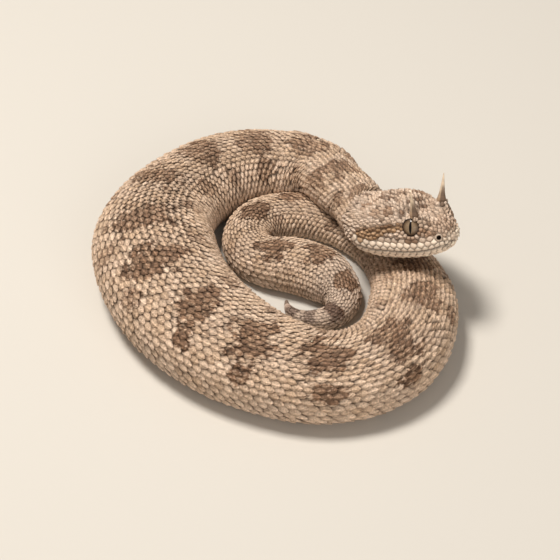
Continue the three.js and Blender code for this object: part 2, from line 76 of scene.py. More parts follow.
HEAD_SECTIONS = np.array([  # share of the length, half width, crown, chin, widest level, squareness
    (-0.21, 8.3, 8.6, -5.2, 0.9, 2.15), (0, 12.1, 10.0, -5.5, 1.3, 2.2), (0.12, 13.2, 11.1, -5.6, 1.6, 2.3),
    (0.27, 13.2, 11.8, -5.4, 2.1, 2.5), (0.42, 12.0, 11.9, -4.9, 2.5, 2.7),
    (0.57, 10.8, 10.0, -4.2, 3.0, 2.6), (0.72, 9.1, 9.7, -3.1, 3.4, 2.4), (0.84, 7.1, 9.1, -1.8, 3.8, 2.1),
    (0.91, 5.3, 8.3, -0.5, 4.2, 2.3), (0.96, 3.6, 7.3, 0.9, 4.6, 2.2), (0.99, 2.0, 6.4, 2.4, 5.0, 2.1),
    (1, 0.6, 5.9, 4.7, 5.2, 2.1),
])
MOUTH = np.array([
    (-0.3, -0.4), (0, -0.5), (0.2, -0.5), (0.45, -0.2), (0.65, 0.2), (0.85, 1.2), (0.95, 2.3), (1.1, 3.4),
])
EYE = np.array([21.07, 8.52, 8.45])
EYE_FACING = np.array([0.42, 0.82, 0.38]) / np.linalg.norm([0.42, 0.82, 0.38])
EYE_RADIUS, EYE_DEPTH, EYE_BULGE, EYE_OPENING = 3.0, 0.65, 0.6, 2.65
NOSTRIL = np.array([28.32, 4.51, 5.24])
NOSTRIL_FACING = np.array([0.65, 0.71, 0.27]) / np.linalg.norm([0.65, 0.71, 0.27])
SNOUT_TIP = np.array([30.34, 0.0, 4.5])
HORN_AT = np.array([20.8, 6.35, 11.7])
HORN_LEAN = np.array([0.5, 1.35])
HORN_LENGTH, HORN_RADIUS, HORN_TIP_RADIUS, HORN_TAPER, HORN_SUNK = 8.2, 1.5, 0.14, 1.1, 0.5
BROW = dict(rise=2.6, out=0.6, level=0.95, spread=0.34, reach=3.4)
LORE = dict(depth=0.8, ahead=4.6, reach=2.2, y=6.5, z=7.4, spread=2.5, height=2.4)
HOLLOW = dict(depth=1.0, reach=6.0, spread=3.2)
LIP = dict(swell=0.35, above=1.5, spread=1.1, start=-1.0, ease=5.0)
EYE_RIM = dict(swell=0.5, radius=3.2, spread=0.8, reach=4.0)
WIDEST_AT, BELLY_DROP = 0.42, 0.07
SQUARENESS, BELLY_SQUARENESS, CHIN_SQUARENESS = 2.15, 2.5, 2.4
RIDGE_HEIGHT, RIDGE_SPREAD = 0.03, 0.22


# ---------- small helpers ----------
def bump(distance, reach):
    return np.exp(-((distance / reach) ** 2))


def clamp(values):
    return np.clip(values, 0, 1)


def smooth(t):
    t = clamp(t)
    return t * t * (3 - 2 * t)


def unit(vectors):
    return vectors / np.maximum(np.linalg.norm(vectors, axis=-1, keepdims=True), 1e-9)


def profile(stations):
    """A smooth curve through (position, value) stations, without overshoot."""
    xs, ys = np.asarray(stations, float).T
    slope = np.diff(ys) / np.diff(xs)
    tangent = np.empty(len(xs))
    tangent[0], tangent[-1] = slope[0], slope[-1]
    for i in range(1, len(xs) - 1):
        before, after = slope[i - 1], slope[i]
        tangent[i] = 0 if before * after <= 0 else 2 * before * after / (before + after)

    def value(x):
        x = np.clip(np.asarray(x, float), xs[0], xs[-1])
        i = np.clip(np.searchsorted(xs, x, side="right") - 1, 0, len(xs) - 2)
        span = xs[i + 1] - xs[i]
        t = (x - xs[i]) / span
        ends = ys[i] * (1 + 2 * t) * (1 - t) ** 2 + ys[i + 1] * t * t * (3 - 2 * t)
        return ends + span * (tangent[i] * t * (1 - t) ** 2 - tangent[i + 1] * t * t * (1 - t))

    return value


def mirrored(local, side):
    return local * np.array([1, side, 1])


def ring_turns(sides):
    """Even steps of angle round a ring."""
    return np.arange(sides) / sides * 2 * math.pi


def sums(steps):
    """Running sums, from zero."""
    return np.concatenate([[0], np.cumsum(steps)])


def deep(values):
    """One value for each scale, shaped to go with the grid of each scale's points."""
    return np.asarray(values)[:, None, None]


def left_of(heading):
    """Direction from the line of the body to the flank at angle 0."""
    return np.stack([np.sin(heading), -np.cos(heading)], -1)


def random_shades(count):
    return np.clip(rng.normal(0, 0.45, count), -1, 1)


def side_axes(facing):
    """Two directions across the way that something faces: level, and upward."""
    across = unit(np.cross([0, 0, 1.0], facing))
    return across, np.cross(facing, across)


def raised(place, facing, flat, height):
    """Points about a place, from their places across the way that it faces and their heights along it."""
    across, over = side_axes(facing)
    return place + flat[..., :1] * across + flat[..., 1:] * over + height * facing


def tree_of(points):
    """A tree for finding the nearest of the points."""
    tree = KDTree(len(points))
    for i, point in enumerate(points):
        tree.insert(point, i)
    tree.balance()
    return tree


def srgb(red, green, blue):
    """A colour as linear light."""
    c = np.array([red, green, blue]) / 255
    return np.where(c <= 0.04045, c / 12.92, ((c + 0.055) / 1.055) ** 2.4)


def blend_numbers(a, b, share):
    return a * (1 - share) + b * share


def blend(a, b, share):
    """Blends colours or points by an array of shares."""
    return blend_numbers(a, b, np.asarray(share)[..., None])


def layered(colour, *layers):
    """Lays colours over the first one, each with an array of shares."""
    for other, share in layers:
        colour = blend(colour, other, share)
    return colour


# ---------- the line of the body ----------
ROUTE_STEP, BEND_EASE = 0.5, 8


def route_through(bends, start, heading):
    """Places and headings along a line of bends that ease into each other."""
    bends = np.array(bends)
    length = bends[:, 0].sum()
    count = round(length / ROUTE_STEP)
    at = (np.arange(count) + 0.5) / count * length
    bend = np.minimum(np.searchsorted(np.cumsum(bends[:, 0]), at, side="right"), len(bends) - 1)
    curvature = np.radians(bends[bend, 1]) / bends[bend, 0]
    reach = round(BEND_EASE / 2 / ROUTE_STEP)
    eased = np.array([curvature[max(0, i - reach):i + reach + 1].mean() for i in range(count)])
    step = length / count
    turned = math.radians(heading) + sums(eased * step)
    middle = (turned[1:] + turned[:-1]) / 2
    x = start[0] + sums(step * np.cos(middle))
    y = start[1] + sums(step * np.sin(middle))
    return np.stack([x, y, turned], 1)


def along_route(route, share):
    """Place and heading at shares of a route's length."""
    at = clamp(share) * (len(route) - 1)
    i = np.minimum(len(route) - 2, np.floor(at).astype(int))
    t = (at - i)[..., None]
    return route[i] * (1 - t) + route[i + 1] * t


COIL_ROUTE = route_through(BENDS, COIL_START, COIL_HEADING)
NECK_ROUTE = route_through(NECK_BENDS, COIL_START, COIL_HEADING - 180)
COIL_LENGTH = sum(b[0] for b in BENDS)
NECK_LENGTH = sum(b[0] for b in NECK_BENDS)
BODY_LENGTH = NECK_LENGTH + COIL_LENGTH
coil_width = profile([(s[0], s[1]) for s in STATIONS])
coil_flatness = profile([(s[0], s[2]) for s in STATIONS])


def section(angle, width, height):
    """Across and height of a point of the body's section: 0 is the left flank, a quarter turn the back."""
    c, s = np.cos(angle), np.sin(angle)
    y = width / 2 * np.sign(c) * np.abs(c) ** (2 / SQUARENESS)
    rise = np.abs(s) ** (2 / SQUARENESS) * (1 - RIDGE_HEIGHT) + RIDGE_HEIGHT * bump(c, RIDGE_SPREAD)
    drop = (WIDEST_AT + BELLY_DROP) * np.abs(s) ** (2 / BELLY_SQUARENESS)
    z = np.where(s >= 0, WIDEST_AT + (1 - WIDEST_AT) * rise, np.maximum(0, WIDEST_AT - drop))
    return y, height * z


# ---------- the head ----------
def head_frame():
    r, p, y = (math.radians(a) for a in (HEAD_ROLL, -HEAD_PITCH, HEAD_YAW))
    roll, pitch, yaw = (Matrix.Rotation(a, 3, axis) for a, axis in ((r, "X"), (p, "Y"), (y, "Z")))
    return np.array(yaw @ pitch @ roll)


HEAD_TURN = head_frame()
HEAD_FORWARD, HEAD_UP = HEAD_TURN[:, 0], HEAD_TURN[:, 2]
half_width, crown, chin, widest_level, head_squareness = [
    profile(np.stack([HEAD_SECTIONS[:, 0] * HEAD_LENGTH, HEAD_SECTIONS[:, c]], 1)) for c in range(1, 6)
]
mouth_line = profile(MOUTH * (HEAD_LENGTH, 1))
NAPE = HEAD_SECTIONS[0, 0] * HEAD_LENGTH


def head_point(local):
    return HEAD_ORIGIN + np.asarray(local) @ HEAD_TURN.T


def head_shape(x, angle):
    """Points of the head's surface in its own frame: x forward, y left, z up from the mouth's line."""
    x, angle = np.broadcast_arrays(np.asarray(x, float), np.asarray(angle, float))
    c, s = np.cos(angle), np.sin(angle)
    across, top, bottom, level = half_width(x), crown(x), chin(x), widest_level(x)
    power = 2 / head_squareness(x)
    side = np.sign(c)
    y = across * side * np.abs(c) ** power
    above = level + (top - level) * np.abs(s) ** power
    below = level - (level - bottom) * np.abs(s) ** (2 / CHIN_SQUARENESS)
    z = np.where(s >= 0, above, below)
    slope = np.arctan2(s, np.abs(c))
    brow = bump(slope - BROW["level"], BROW["spread"]) * bump(x - EYE[0], BROW["reach"])
    y = y + side * BROW["out"] * brow
    z = z + BROW["rise"] * brow
    lore = bump(x - EYE[0] - LORE["ahead"], LORE["reach"]) * bump(z - LORE["z"], LORE["height"])
    y = y - side * LORE["depth"] * lore * bump(np.abs(y) - LORE["y"], LORE["spread"])
    hollow = bump(x - EYE[0], HOLLOW["reach"]) * bump(y, HOLLOW["spread"])
    z = z - np.where(s > 0, HOLLOW["depth"] * hollow, 0)
    lip = bump(z - mouth_line(x) - LIP["above"], LIP["spread"]) * smooth((x - LIP["start"]) / LIP["ease"])
    y = y + side * LIP["swell"] * lip
    from_eye = np.stack([x, np.abs(y), z], -1) - EYE
    out = from_eye @ EYE_FACING
    away = np.sqrt(np.maximum(0, (from_eye**2).sum(-1) - out**2))
    rim = EYE_RIM["swell"] * bump(away - EYE_RIM["radius"], EYE_RIM["spread"])
    rim = rim * bump(out, EYE_RIM["reach"])
    forward, left, up = EYE_FACING
    return np.stack([x + rim * forward, y + side * rim * left, z + rim * up], -1)


# ---------- the neck and the coil, as rings ----------
def neck_rings(t, angle):
    """Rings of the neck at shares t of its length from the head, at a grid of angles."""
    width_end = float(coil_width(0))
    height_end = width_end * FLATNESS
    nape_height = float(crown(NAPE) - chin(NAPE))
    nape = head_point([NAPE - GAP, 0, float(crown(NAPE) + chin(NAPE)) / 2])
    middle_height = profile([(0, nape[2]), *NECK_MIDDLE, (1, height_end / 2)])
    end = along_route(NECK_ROUTE, np.array(1.0))

    def line(share):
        share = np.maximum(share, 0)
        pull = (1 - smooth(2 * share))[:, None]
        flat = along_route(NECK_ROUTE, 1 - share)[:, :2] + (nape[:2] - end[:2]) * pull
        beyond = along_route(COIL_ROUTE, np.maximum(share - 1, 0) * NECK_LENGTH / COIL_LENGTH)[:, :2]
        return np.c_[np.where((share > 1)[:, None], beyond, flat), middle_height(share)]

    run = line(t + 0.02) - line(t - 0.02)
    run[:, 2] *= SECTION_LEAN
    tangent = unit(blend(-HEAD_FORWARD, unit(run), smooth(t / NECK_TURN)))
    up = blend(HEAD_UP, np.array([0, 0, 1.0]), smooth(2 * t))
    up = unit(up - tangent * (up * tangent).sum(1, keepdims=True))
    growth = smooth(t) ** NECK_GROWTH
    height = (nape_height + (height_end - nape_height) * growth)[:, None]
    width_start = 2 * float(half_width(NAPE))
    width = (width_start + (width_end - width_start) * growth)[:, None]
    place = (line(t) - up * height / 2)[:, None]
    left = unit(np.cross(tangent, up))[:, None]
    up = up[:, None]

    def around(y, z):
        return place + left * y[..., None] + up * z[..., None]

    as_body = around(*section(angle, width, height))
    nape_ring = head_shape(NAPE, angle)
    y = nape_ring[..., 1] * width / width_start
    z = (nape_ring[..., 2] - float(chin(NAPE))) * height / nape_height
    return blend(around(y, z), as_body, smooth(t / NAPE_FADE)[:, None] + 0 * angle)


BEND_REACH = 4  # mm to either side over which a bend is measured
FLANK_LIMIT, FLANK_EASE = 0.93, 8.0  # how near a flank comes to its bend's centre, and how abruptly it stops


def coil_rings(share, angle):
    """Rings of the coil at shares of its length."""
    at = along_route(COIL_ROUTE, share)
    width = coil_width(share)[:, None]
    y, z = section(angle, width, width * coil_flatness(share)[:, None])
    # The flank on the inside of a tight bend is held short of the bend's centre.
    near = BEND_REACH / COIL_LENGTH
    turn = along_route(COIL_ROUTE, share + near)[:, 2] - along_route(COIL_ROUTE, share - near)[:, 2]
    span = (clamp(share + near) - clamp(share - near)) * COIL_LENGTH
    bend = (turn / span)[:, None]
    limit = FLANK_LIMIT / np.maximum(np.abs(bend), 1e-4)
    inner = y * np.sign(bend) < 0
    held = (np.abs(y) ** -FLANK_EASE + limit**-FLANK_EASE) ** (-1 / FLANK_EASE) * np.sign(y)
    y = np.where(inner & (np.abs(y) > 1e-3), held, y)
    flat = at[:, None, :2] + left_of(at[:, 2])[:, None] * y[..., None]
    return np.concatenate([flat, z[..., None]], -1)


# The neck and the first length of the trunk rest against the inner loop and are pressed clear of it.
PRESS_FROM, PRESS_TO, PRESS_STEP = 0.6, 0.86, 0.0007  # shares of the coil that make the inner loop
PRESSED_LENGTH = 90.0  # of the body from the head
PRESS_REACH = 1.6  # of the inner loop's radius, beyond which nothing is pushed
AT_ONCE = 20000  # points worked out together


def press(points, margin):
    """Pushes points out of the inner loop, and tells how far each was pushed."""
    share = np.arange(PRESS_FROM, PRESS_TO, PRESS_STEP)
    at = along_route(COIL_ROUTE, share)
    left = left_of(at[:, 2])
    width = coil_width(share)
    height = width * coil_flatness(share)
    flat = points.reshape(-1, 3)
    out = flat.copy()
    depth = np.zeros(len(flat))
    for first in range(0, len(flat), AT_ONCE):
        p = flat[first:first + AT_ONCE]
        away = ((p[:, None, :2] - at[None, :, :2]) ** 2).sum(2)
        i = away.argmin(1)
        y = ((p[:, :2] - at[i, :2]) * left[i]).sum(1)
        level = WIDEST_AT * height[i]
        z = p[:, 2] - level
        reach = np.where(z > 0, height[i] - level, (WIDEST_AT + BELLY_DROP) * height[i])
        shares = np.stack([np.abs(y) / (width[i] / 2), np.abs(z) / reach])
        rho = (shares[0] ** SQUARENESS + shares[1] ** SQUARENESS) ** (1 / SQUARENESS)
        radius = np.hypot(y, z)
        wall = radius / np.maximum(rho, 1e-6) + margin
        push = np.maximum(0, wall - radius) * (rho < PRESS_REACH)
        scale = push / np.maximum(radius, 0.5)
        moved = np.zeros_like(p)
        moved[:, :2] = left[i] * (y * scale)[:, None]
        moved[:, 2] = z * scale
        out[first:first + AT_ONCE] = p + moved
        depth[first:first + AT_ONCE] = push
    return out.reshape(points.shape), depth.reshape(points.shape[:-1])


RING_STEP, FINE_COLUMNS = 0.4, 481  # mm from ring to ring, and points across a ring of a strip


def body_rings(angle):
    """Rings of the whole body from the nape to the tail's tip, and the distance of each along it."""
    neck_count = round(NECK_LENGTH / RING_STEP)
    coil_count = round(COIL_LENGTH / RING_STEP)
    t = np.arange(neck_count) / neck_count
    share = np.linspace(0, 1, coil_count + 1)
    u = np.concatenate([t * NECK_LENGTH, NECK_LENGTH + share * COIL_LENGTH])
    angle = np.broadcast_to(angle, (len(u), np.shape(angle)[-1]))
    points = np.concatenate([neck_rings(t, angle[:neck_count]), coil_rings(share, angle[neck_count:])])
    pressed = np.zeros(points.shape[:2])
    near = u < PRESSED_LENGTH
    points[near], pressed[near] = press(points[near], GAP)
    return u, points, pressed


class Strip:
    """A band of the body's surface: u runs along it in mm, v from 0 to 1 across it at even arc lengths."""

    def __init__(self, first_angle, last_angle, columns):
        fine = np.linspace(first_angle, last_angle, FINE_COLUMNS)
        self.u, rings, pressed = body_rings(fine)
        arc = np.linalg.norm(np.diff(rings, axis=1), axis=2)
        arc = np.concatenate([np.zeros((len(rings), 1)), np.cumsum(arc, 1)], 1)
        self.girth = arc[:, -1]
        even = np.linspace(0, 1, columns)
        points = np.empty((len(rings), columns, 3))
        self.pressed = np.empty((len(rings), columns))
        for i, ring in enumerate(rings):
            share = arc[i] / arc[i, -1]
            for k in range(3):
                points[i, :, k] = np.interp(even, share, ring[:, k])
            self.pressed[i] = np.interp(even, share, pressed[i])
        self.points = points
        self.normals = outward(points, closed=False)
        step = np.gradient(self.u)[:, None]
        self.stretch = np.linalg.norm(np.gradient(points, axis=0), axis=2) / step

    def at(self, u, v):
        """Points, normals, pressing depths and stretch along the body at arrays of places."""
        rows, columns = self.points.shape[:2]
        r = np.clip(np.interp(u, self.u, np.arange(rows)), 0, rows - 1.001)
        c = clamp(v) * (columns - 1.001)
        i, j = r.astype(int), c.astype(int)
        f, g = (r - i)[..., None], (c - j)[..., None]

        def mix(table):
            first = table[i, j] * (1 - g) + table[i, j + 1] * g
            return first * (1 - f) + (table[i + 1, j] * (1 - g) + table[i + 1, j + 1] * g) * f

        pressed, stretch = (mix(table[..., None])[..., 0] for table in (self.pressed, self.stretch))
        return mix(self.points), unit(mix(self.normals)), pressed, stretch


def outward(points, closed):
    """Outward directions of a grid of points, whose last column may meet its first."""
    along = np.gradient(points, axis=0)
    if closed:
        across = (np.roll(points, -1, 1) - np.roll(points, 1, 1)) / 2
    else:
        across = np.gradient(points, axis=1)
    return unit(np.cross(along, across))


def body_width(u):
    """Width of the neck and the body at distances from the nape."""
    narrow = 2 * float(half_width(NAPE))
    growth = smooth(u / NECK_LENGTH) ** NECK_GROWTH
    neck = narrow + (float(coil_width(0)) - narrow) * growth
    return np.where(u < NECK_LENGTH, neck, coil_width((u - NECK_LENGTH) / COIL_LENGTH))


def pitch(u):
    """Distance from one scale to the next along a row."""
    even = 1.5 + 0.022 * body_width(u) + 0.24 * bump(u - 168, 42)
    return even * (1 - 0.12 * smooth((u - 300) / 30) - 0.2 * smooth((u - 350) / 14))


def counted_along(first, last, spacing):
    """Places along the body, and how many scales lie before each."""
    u = np.linspace(first, last, 4000)
    return u, sums(np.diff(u) / (spacing * pitch(u)[1:]))


def coat_depth(u):
    """How far the skin lies inside the tips of the scales."""
    slim = np.clip(body_width(u) / 9, 0.3, 1)
    return (0.1 + 0.21 * pitch(u)) * slim


# ---------- colours ----------
SAND = srgb(199, 170, 145)
GOLD = srgb(194, 162, 132)
CREAM = srgb(221, 200, 180)
GREY_SAND = srgb(184, 162, 145)
BROWN = srgb(124, 94, 72)
RUST = srgb(154, 118, 90)
DARK = srgb(72, 50, 37)
# brown of the painted shade in the gaps between scales and on the skin beneath them
GAP_SHADE_BROWN = srgb(92, 67, 49)
LIP_CREAM = srgb(240, 220, 198)
STRIPE_TAN = srgb(182, 147, 114)
STRIPE_BROWN = srgb(138, 107, 78)
TAIL_GREY = srgb(118, 97, 85)
PALE_GREY = srgb(205, 184, 166)
TIP_CREAM = srgb(205, 180, 162)
BELLY_CREAM = srgb(222, 206, 184)
TAIL_START, TIP_START = 352, 391  # where the tail turns pale, and its tip
TAIL_BANDS = [(375.0, 2.0, 0.8), (382.0, 1.6, 0.75), (388.0, 2.2, 0.85)]  # middle, half length, strength

# Blotches: distance along the body, place across the back (0.5 is the spine), half length, half width
# in mm, and strength.
BACK_BLOTCHES = [
    (4.4, 0.53, 4.8, 4.0, 0.9), (19.7, 0.5, 6.0, 6.4, 1.0), (38.6, 0.48, 7.2, 7.6, 1.0),
    (56.2, 0.485, 6.5, 8.0, 1.0), (73.8, 0.465, 6.0, 8.5, 1.0), (93.0, 0.455, 6.0, 9.5, 1.0),
    (116.3, 0.47, 6.5, 11.0, 1.0), (134.0, 0.44, 7.0, 11.5, 1.0), (154.5, 0.45, 6.0, 10.0, 1.0),
    (173.1, 0.435, 7.5, 9.0, 1.0), (192.7, 0.46, 7.5, 8.0, 1.0), (213.1, 0.45, 7.0, 8.0, 0.9),
    (232.0, 0.445, 6.5, 7.0, 0.9), (250.0, 0.47, 6.4, 6.4, 0.9), (268.0, 0.5, 5.6, 5.6, 0.9),
    (284.0, 0.47, 5.2, 4.9, 0.9), (302.4, 0.42, 5.6, 4.8, 1.0), (316.8, 0.5, 5.2, 5.4, 1.0),
    (340.5, 0.49, 6.2, 5.8, 1.0), (354.9, 0.53, 5.3, 5.3, 1.0), (365.7, 0.54, 3.7, 4.8, 1.0),
    (374.8, 0.55, 2.2, 6.0, 1.2),
]
FLANK_BLOTCHES = [
    (8.0, 0.7, 3.8, 3.2, 1.0), (20.9, 0.7, 4.4, 3.7, 1.0), (37.0, 0.7, 3.2, 2.9, 0.7),
    (54.2, 0.678, 4.0, 3.6, 1.0), (69.4, 0.672, 3.6, 3.4, 0.8), (83.8, 0.665, 4.0, 3.8, 0.9),
    (105.1, 0.65, 4.2, 4.4, 0.9), (127.0, 0.64, 3.6, 4.0, 0.6), (152.7, 0.63, 4.0, 3.4, 0.7),
    (172.0, 0.65, 3.2, 3.2, 0.5), (191.0, 0.66, 3.4, 3.2, 0.5), (226.8, 0.64, 3.0, 3.0, 0.5),
    (243.6, 0.64, 3.2, 2.8, 0.5), (288.0, 0.68, 3.0, 2.4, 0.7), (310.0, 0.7, 2.8, 2.2, 0.6),
    (12.0, 0.3, 3.6, 3.2, 0.9), (29.0, 0.3, 3.8, 3.5, 0.9), (46.0, 0.29, 3.8, 3.8, 0.9),
    (64.0, 0.29, 3.6, 3.6, 0.9), (82.0, 0.285, 3.6, 3.8, 0.9), (101.0, 0.285, 3.6, 4.0, 0.8),
    (121.5, 0.283, 3.6, 4.2, 0.6), (138.3, 0.294, 3.6, 4.2, 0.7), (157.5, 0.294, 3.8, 3.8, 1.0),
    (173.5, 0.278, 3.8, 3.6, 1.0), (193.9, 0.278, 4.0, 3.4, 0.9), (211.5, 0.256, 4.0, 3.2, 1.0),
    (230.0, 0.27, 3.4, 3.0, 0.8), (248.0, 0.28, 3.2, 2.8, 0.7), (296.0, 0.3, 2.8, 2.2, 0.5),
    (330.0, 0.3, 3.0, 2.4, 0.4), (347.0, 0.3, 2.6, 2.4, 0.3), (349.0, 0.72, 2.6, 2.2, 0.3),
]
CROWN_MARKS = [  # place on the head, size
    (8.3, 3.3, 11.7, 1.2), (13.8, 3.0, 11.5, 1.3), (13.2, -0.6, 11.7, 0.7), (10.7, 6.5, 11.2, 1.0),
    (17.2, 2.7, 9.8, 1.1), (7.3, -0.8, 11.7, 1.1), (3.7, -1.2, 11.1, 1.2), (9.5, -5.8, 11.0, 0.9),
]
FACE_MARKS = [  # place on either side of the head, size, strength
    (24.0, 7.2, 7.2, 1.2, 0.75), (25.6, 5.9, 6.2, 1.1, 0.6), (21.4, 9.4, 4.3, 1.7, 0.6),
    (25.4, 6.9, 4.4, 1.1, 0.5), (29.3, 3.1, 5.4, 0.9, 0.5), (1.5, 6.5, 9.2, 1.8, 0.5),
    (7.5, 8.8, 10.0, 1.8, 0.45), (11.5, 7.3, 10.9, 1.6, 0.5),
]


def ripple(points, size, seed):
    """Smooth noise from -1 to 1, in lumps of about the size given."""
    waves = np.random.default_rng(seed)
    total = 0.0
    for _ in range(7):
        direction = unit(waves.normal(size=3))
        reach = size * waves.uniform(0.75, 1.5)  # length of the wave
        total = total + np.sin(points @ direction * (2 * math.pi / reach) + waves.uniform(0, 6.28))
    return np.clip(total / 3.2, -1, 1)


def body_marks(u, v, points, girth, fleck):
    """How dark the blotches are at places on the body, and how near their rims."""
    rough = 0.28 * ripple(points, 7.0, 3) + 0.28 * ripple(points, 3.6, 4) + 0.14 * fleck
    mark = np.zeros(np.shape(u))
    rim = np.zeros(np.shape(u))
    for at, across, long, wide, strength in BACK_BLOTCHES + FLANK_BLOTCHES:
        far = 1.16 * np.hypot((u - at) / long, (v - across) * girth / wide) + rough
        inside = smooth((1.08 - far) / 0.2) * strength
        rim = np.where(inside > mark, 0.35 + 0.65 * bump(far - 0.85, 0.25), rim)
        mark = np.maximum(mark, inside)
    return mark, rim


def body_colour(u, v, points, girth, shade, fleck):
    """Colour of the hide. shade and fleck are random numbers for each scale, from -1 to 1."""
    aside = np.abs(v - 0.5)
    flank, low = smooth((aside - 0.2) / 0.24), smooth((aside - 0.4) / 0.09)
    mark, rim = body_marks(u, v, points, girth, fleck)
    mark = mark * (0.8 + 0.2 * smooth((u - 95) / 60))
    patchy = clamp(mark * (1 + 0.35 * shade) - 0.5 * smooth((fleck - 0.4) / 0.3))
    inner = blend(RUST, BROWN, clamp(0.5 + 0.6 * shade + 0.3 * ripple(points, 3.0, 8)))
    upper = 0.25 + 0.75 * smooth((0.3 - np.abs(v - 0.52)) / 0.12)
    uneven = 0.6 * ripple(points, 2.5, 9)
    bands = [smooth((half - np.abs(u - at) + uneven) / 1.2 + 0.5) * strong for at, half, strong in TAIL_BANDS]
    colour = layered(
        GOLD,
        (SAND, clamp(0.35 + 0.4 * ripple(points, 9.0, 5) + 0.3 * shade)),
        (GREY_SAND, 0.55 * flank * clamp(0.55 + 0.45 * ripple(points, 14.0, 6))),
        (CREAM, clamp(0.25 + 0.1 * low + 0.15 * shade)),
        (inner, 0.92 * patchy),
        (DARK, 0.9 * mark * (0.3 + 0.7 * rim) * smooth((-fleck + 0.1) / 0.5)),
        (BROWN * 0.8, 0.6 * smooth((-fleck - 0.5) / 0.3) * (1 - 0.6 * flank) * (1 - mark)),
        (PALE_GREY, 0.6 * smooth((u - TAIL_START) / 12) * (1 - mark)),
        *[(TAIL_GREY, clamp(band * upper)) for band in bands],
        (TIP_CREAM, 0.7 * smooth((u - TIP_START) / 1.5)),
    )
    return colour * (1 + 0.11 * shade[..., None])


# ---------- meshes ----------
def new_object(name, points, faces, colours, uvs):
    """A mesh from arrays. Faces are rows of corner numbers, uvs one pair for each corner of each face."""
    points, colours = points.reshape(-1, 3), colours.reshape(-1, 3)
    mesh = bpy.data.meshes.new(name)
    sides = faces.shape[1]
    mesh.vertices.add(len(points))
    mesh.vertices.foreach_set("co", ((points + SHIFT) * 0.001).astype(np.float32).ravel())
    mesh.loops.add(faces.size)
    mesh.loops.foreach_set("vertex_index", faces.astype(np.int32).ravel())
    mesh.polygons.add(len(faces))
    mesh.polygons.foreach_set("loop_start", np.arange(0, faces.size, sides, dtype=np.int32))
    layer = mesh.color_attributes.new("Hide", "FLOAT_COLOR", "POINT")
    rgba = np.concatenate([clamp(colours), np.ones((len(points), 1))], 1)
    layer.data.foreach_set("color", rgba.astype(np.float32).ravel())
    layer = mesh.uv_layers.new(name="OFBake")
    layer.data.foreach_set("uv", np.asarray(uvs, np.float32).ravel())
    mesh.update(calc_edges=True)
    mesh.validate()
    mesh.polygons.foreach_set("use_smooth", np.full(len(mesh.polygons), True))
    made = bpy.data.objects.new(name, mesh)
    bpy.context.scene.collection.objects.link(made)
    return made


def grid_faces(rows, columns, closed=False):
    """Quads of a grid of points, rows by columns."""
    count = columns if closed else columns - 1
    r, c = np.meshgrid(np.arange(rows - 1), np.arange(count), indexing="ij")
    a = r * columns + c
    b = r * columns + (c + 1) % columns
    return np.stack([a, a + columns, b + columns, b], -1).reshape(-1, 4)


def tube_places(faces, sides):
    """Share of the way round and row of each face's corners on a tube, whose last column meets its first."""
    column = faces % sides
    seam = (column == sides - 1).any(1, keepdims=True)
    return np.where(seam & (column == 0), sides, column) / sides, faces // sides


def tube_uv(faces, sides, rows):
    column, row = tube_places(faces, sides)
    return np.stack([0.02 + 0.96 * column, 0.02 + 0.96 * row / (rows - 1)], -1)


def with_wall(grid, edge, foot, shade=1.0):
    """Rows of each scale's points or colours, with its edge again for the wall, times shade, which paints
    colours darker there as shade, and the wall's foot.
    """
    return np.concatenate([grid, grid[:, edge] * shade, foot], 1)


def repeated(faces, count, points):
    """The faces of many like scales, each with so many points."""
    return (faces[None] + deep(np.arange(count) * points)).reshape(-1, 4)


PATCH = 0.003  # size of a scale's patch in the unwrap

# A scale of the body: stations from its root to its tip, half widths there when pointed and when round,
# and places across it.
SCALE_LONG = np.array([0.0, 0.14, 0.3, 0.46, 0.6, 0.73, 0.84, 0.93, 1.0])
SCALE_POINTED = np.array([0.66, 0.88, 1.0, 0.98, 0.86, 0.67, 0.45, 0.24, 0.05])
SCALE_ROUND = np.array([0.52, 0.74, 0.92, 1.0, 0.98, 0.88, 0.69, 0.43, 0.12])
SCALE_ACROSS = np.array([-1.0, -0.62, -0.28, 0.0, 0.28, 0.62, 1.0])
LENGTHWISE = SCALE_LONG[None, :, None]


def scale_template():
    """Faces of one scale: its face as a grid, and a wall round the grid that goes down to the skin."""
    rows, columns = len(SCALE_LONG), len(SCALE_ACROSS)
    top = grid_faces(rows, columns)
    index = np.arange(rows * columns).reshape(rows, columns)
    edge = np.concatenate([index[0, :-1], index[:-1, -1], index[-1, :0:-1], index[:0:-1, 0]])
    count = len(edge)
    high = rows * columns + np.arange(count)
    low = high + count
    wall = np.stack([high, np.roll(high, -1), np.roll(low, -1), low], 1)
    return np.concatenate([top, wall]), edge


SCALE_FACES, SCALE_EDGE = scale_template()


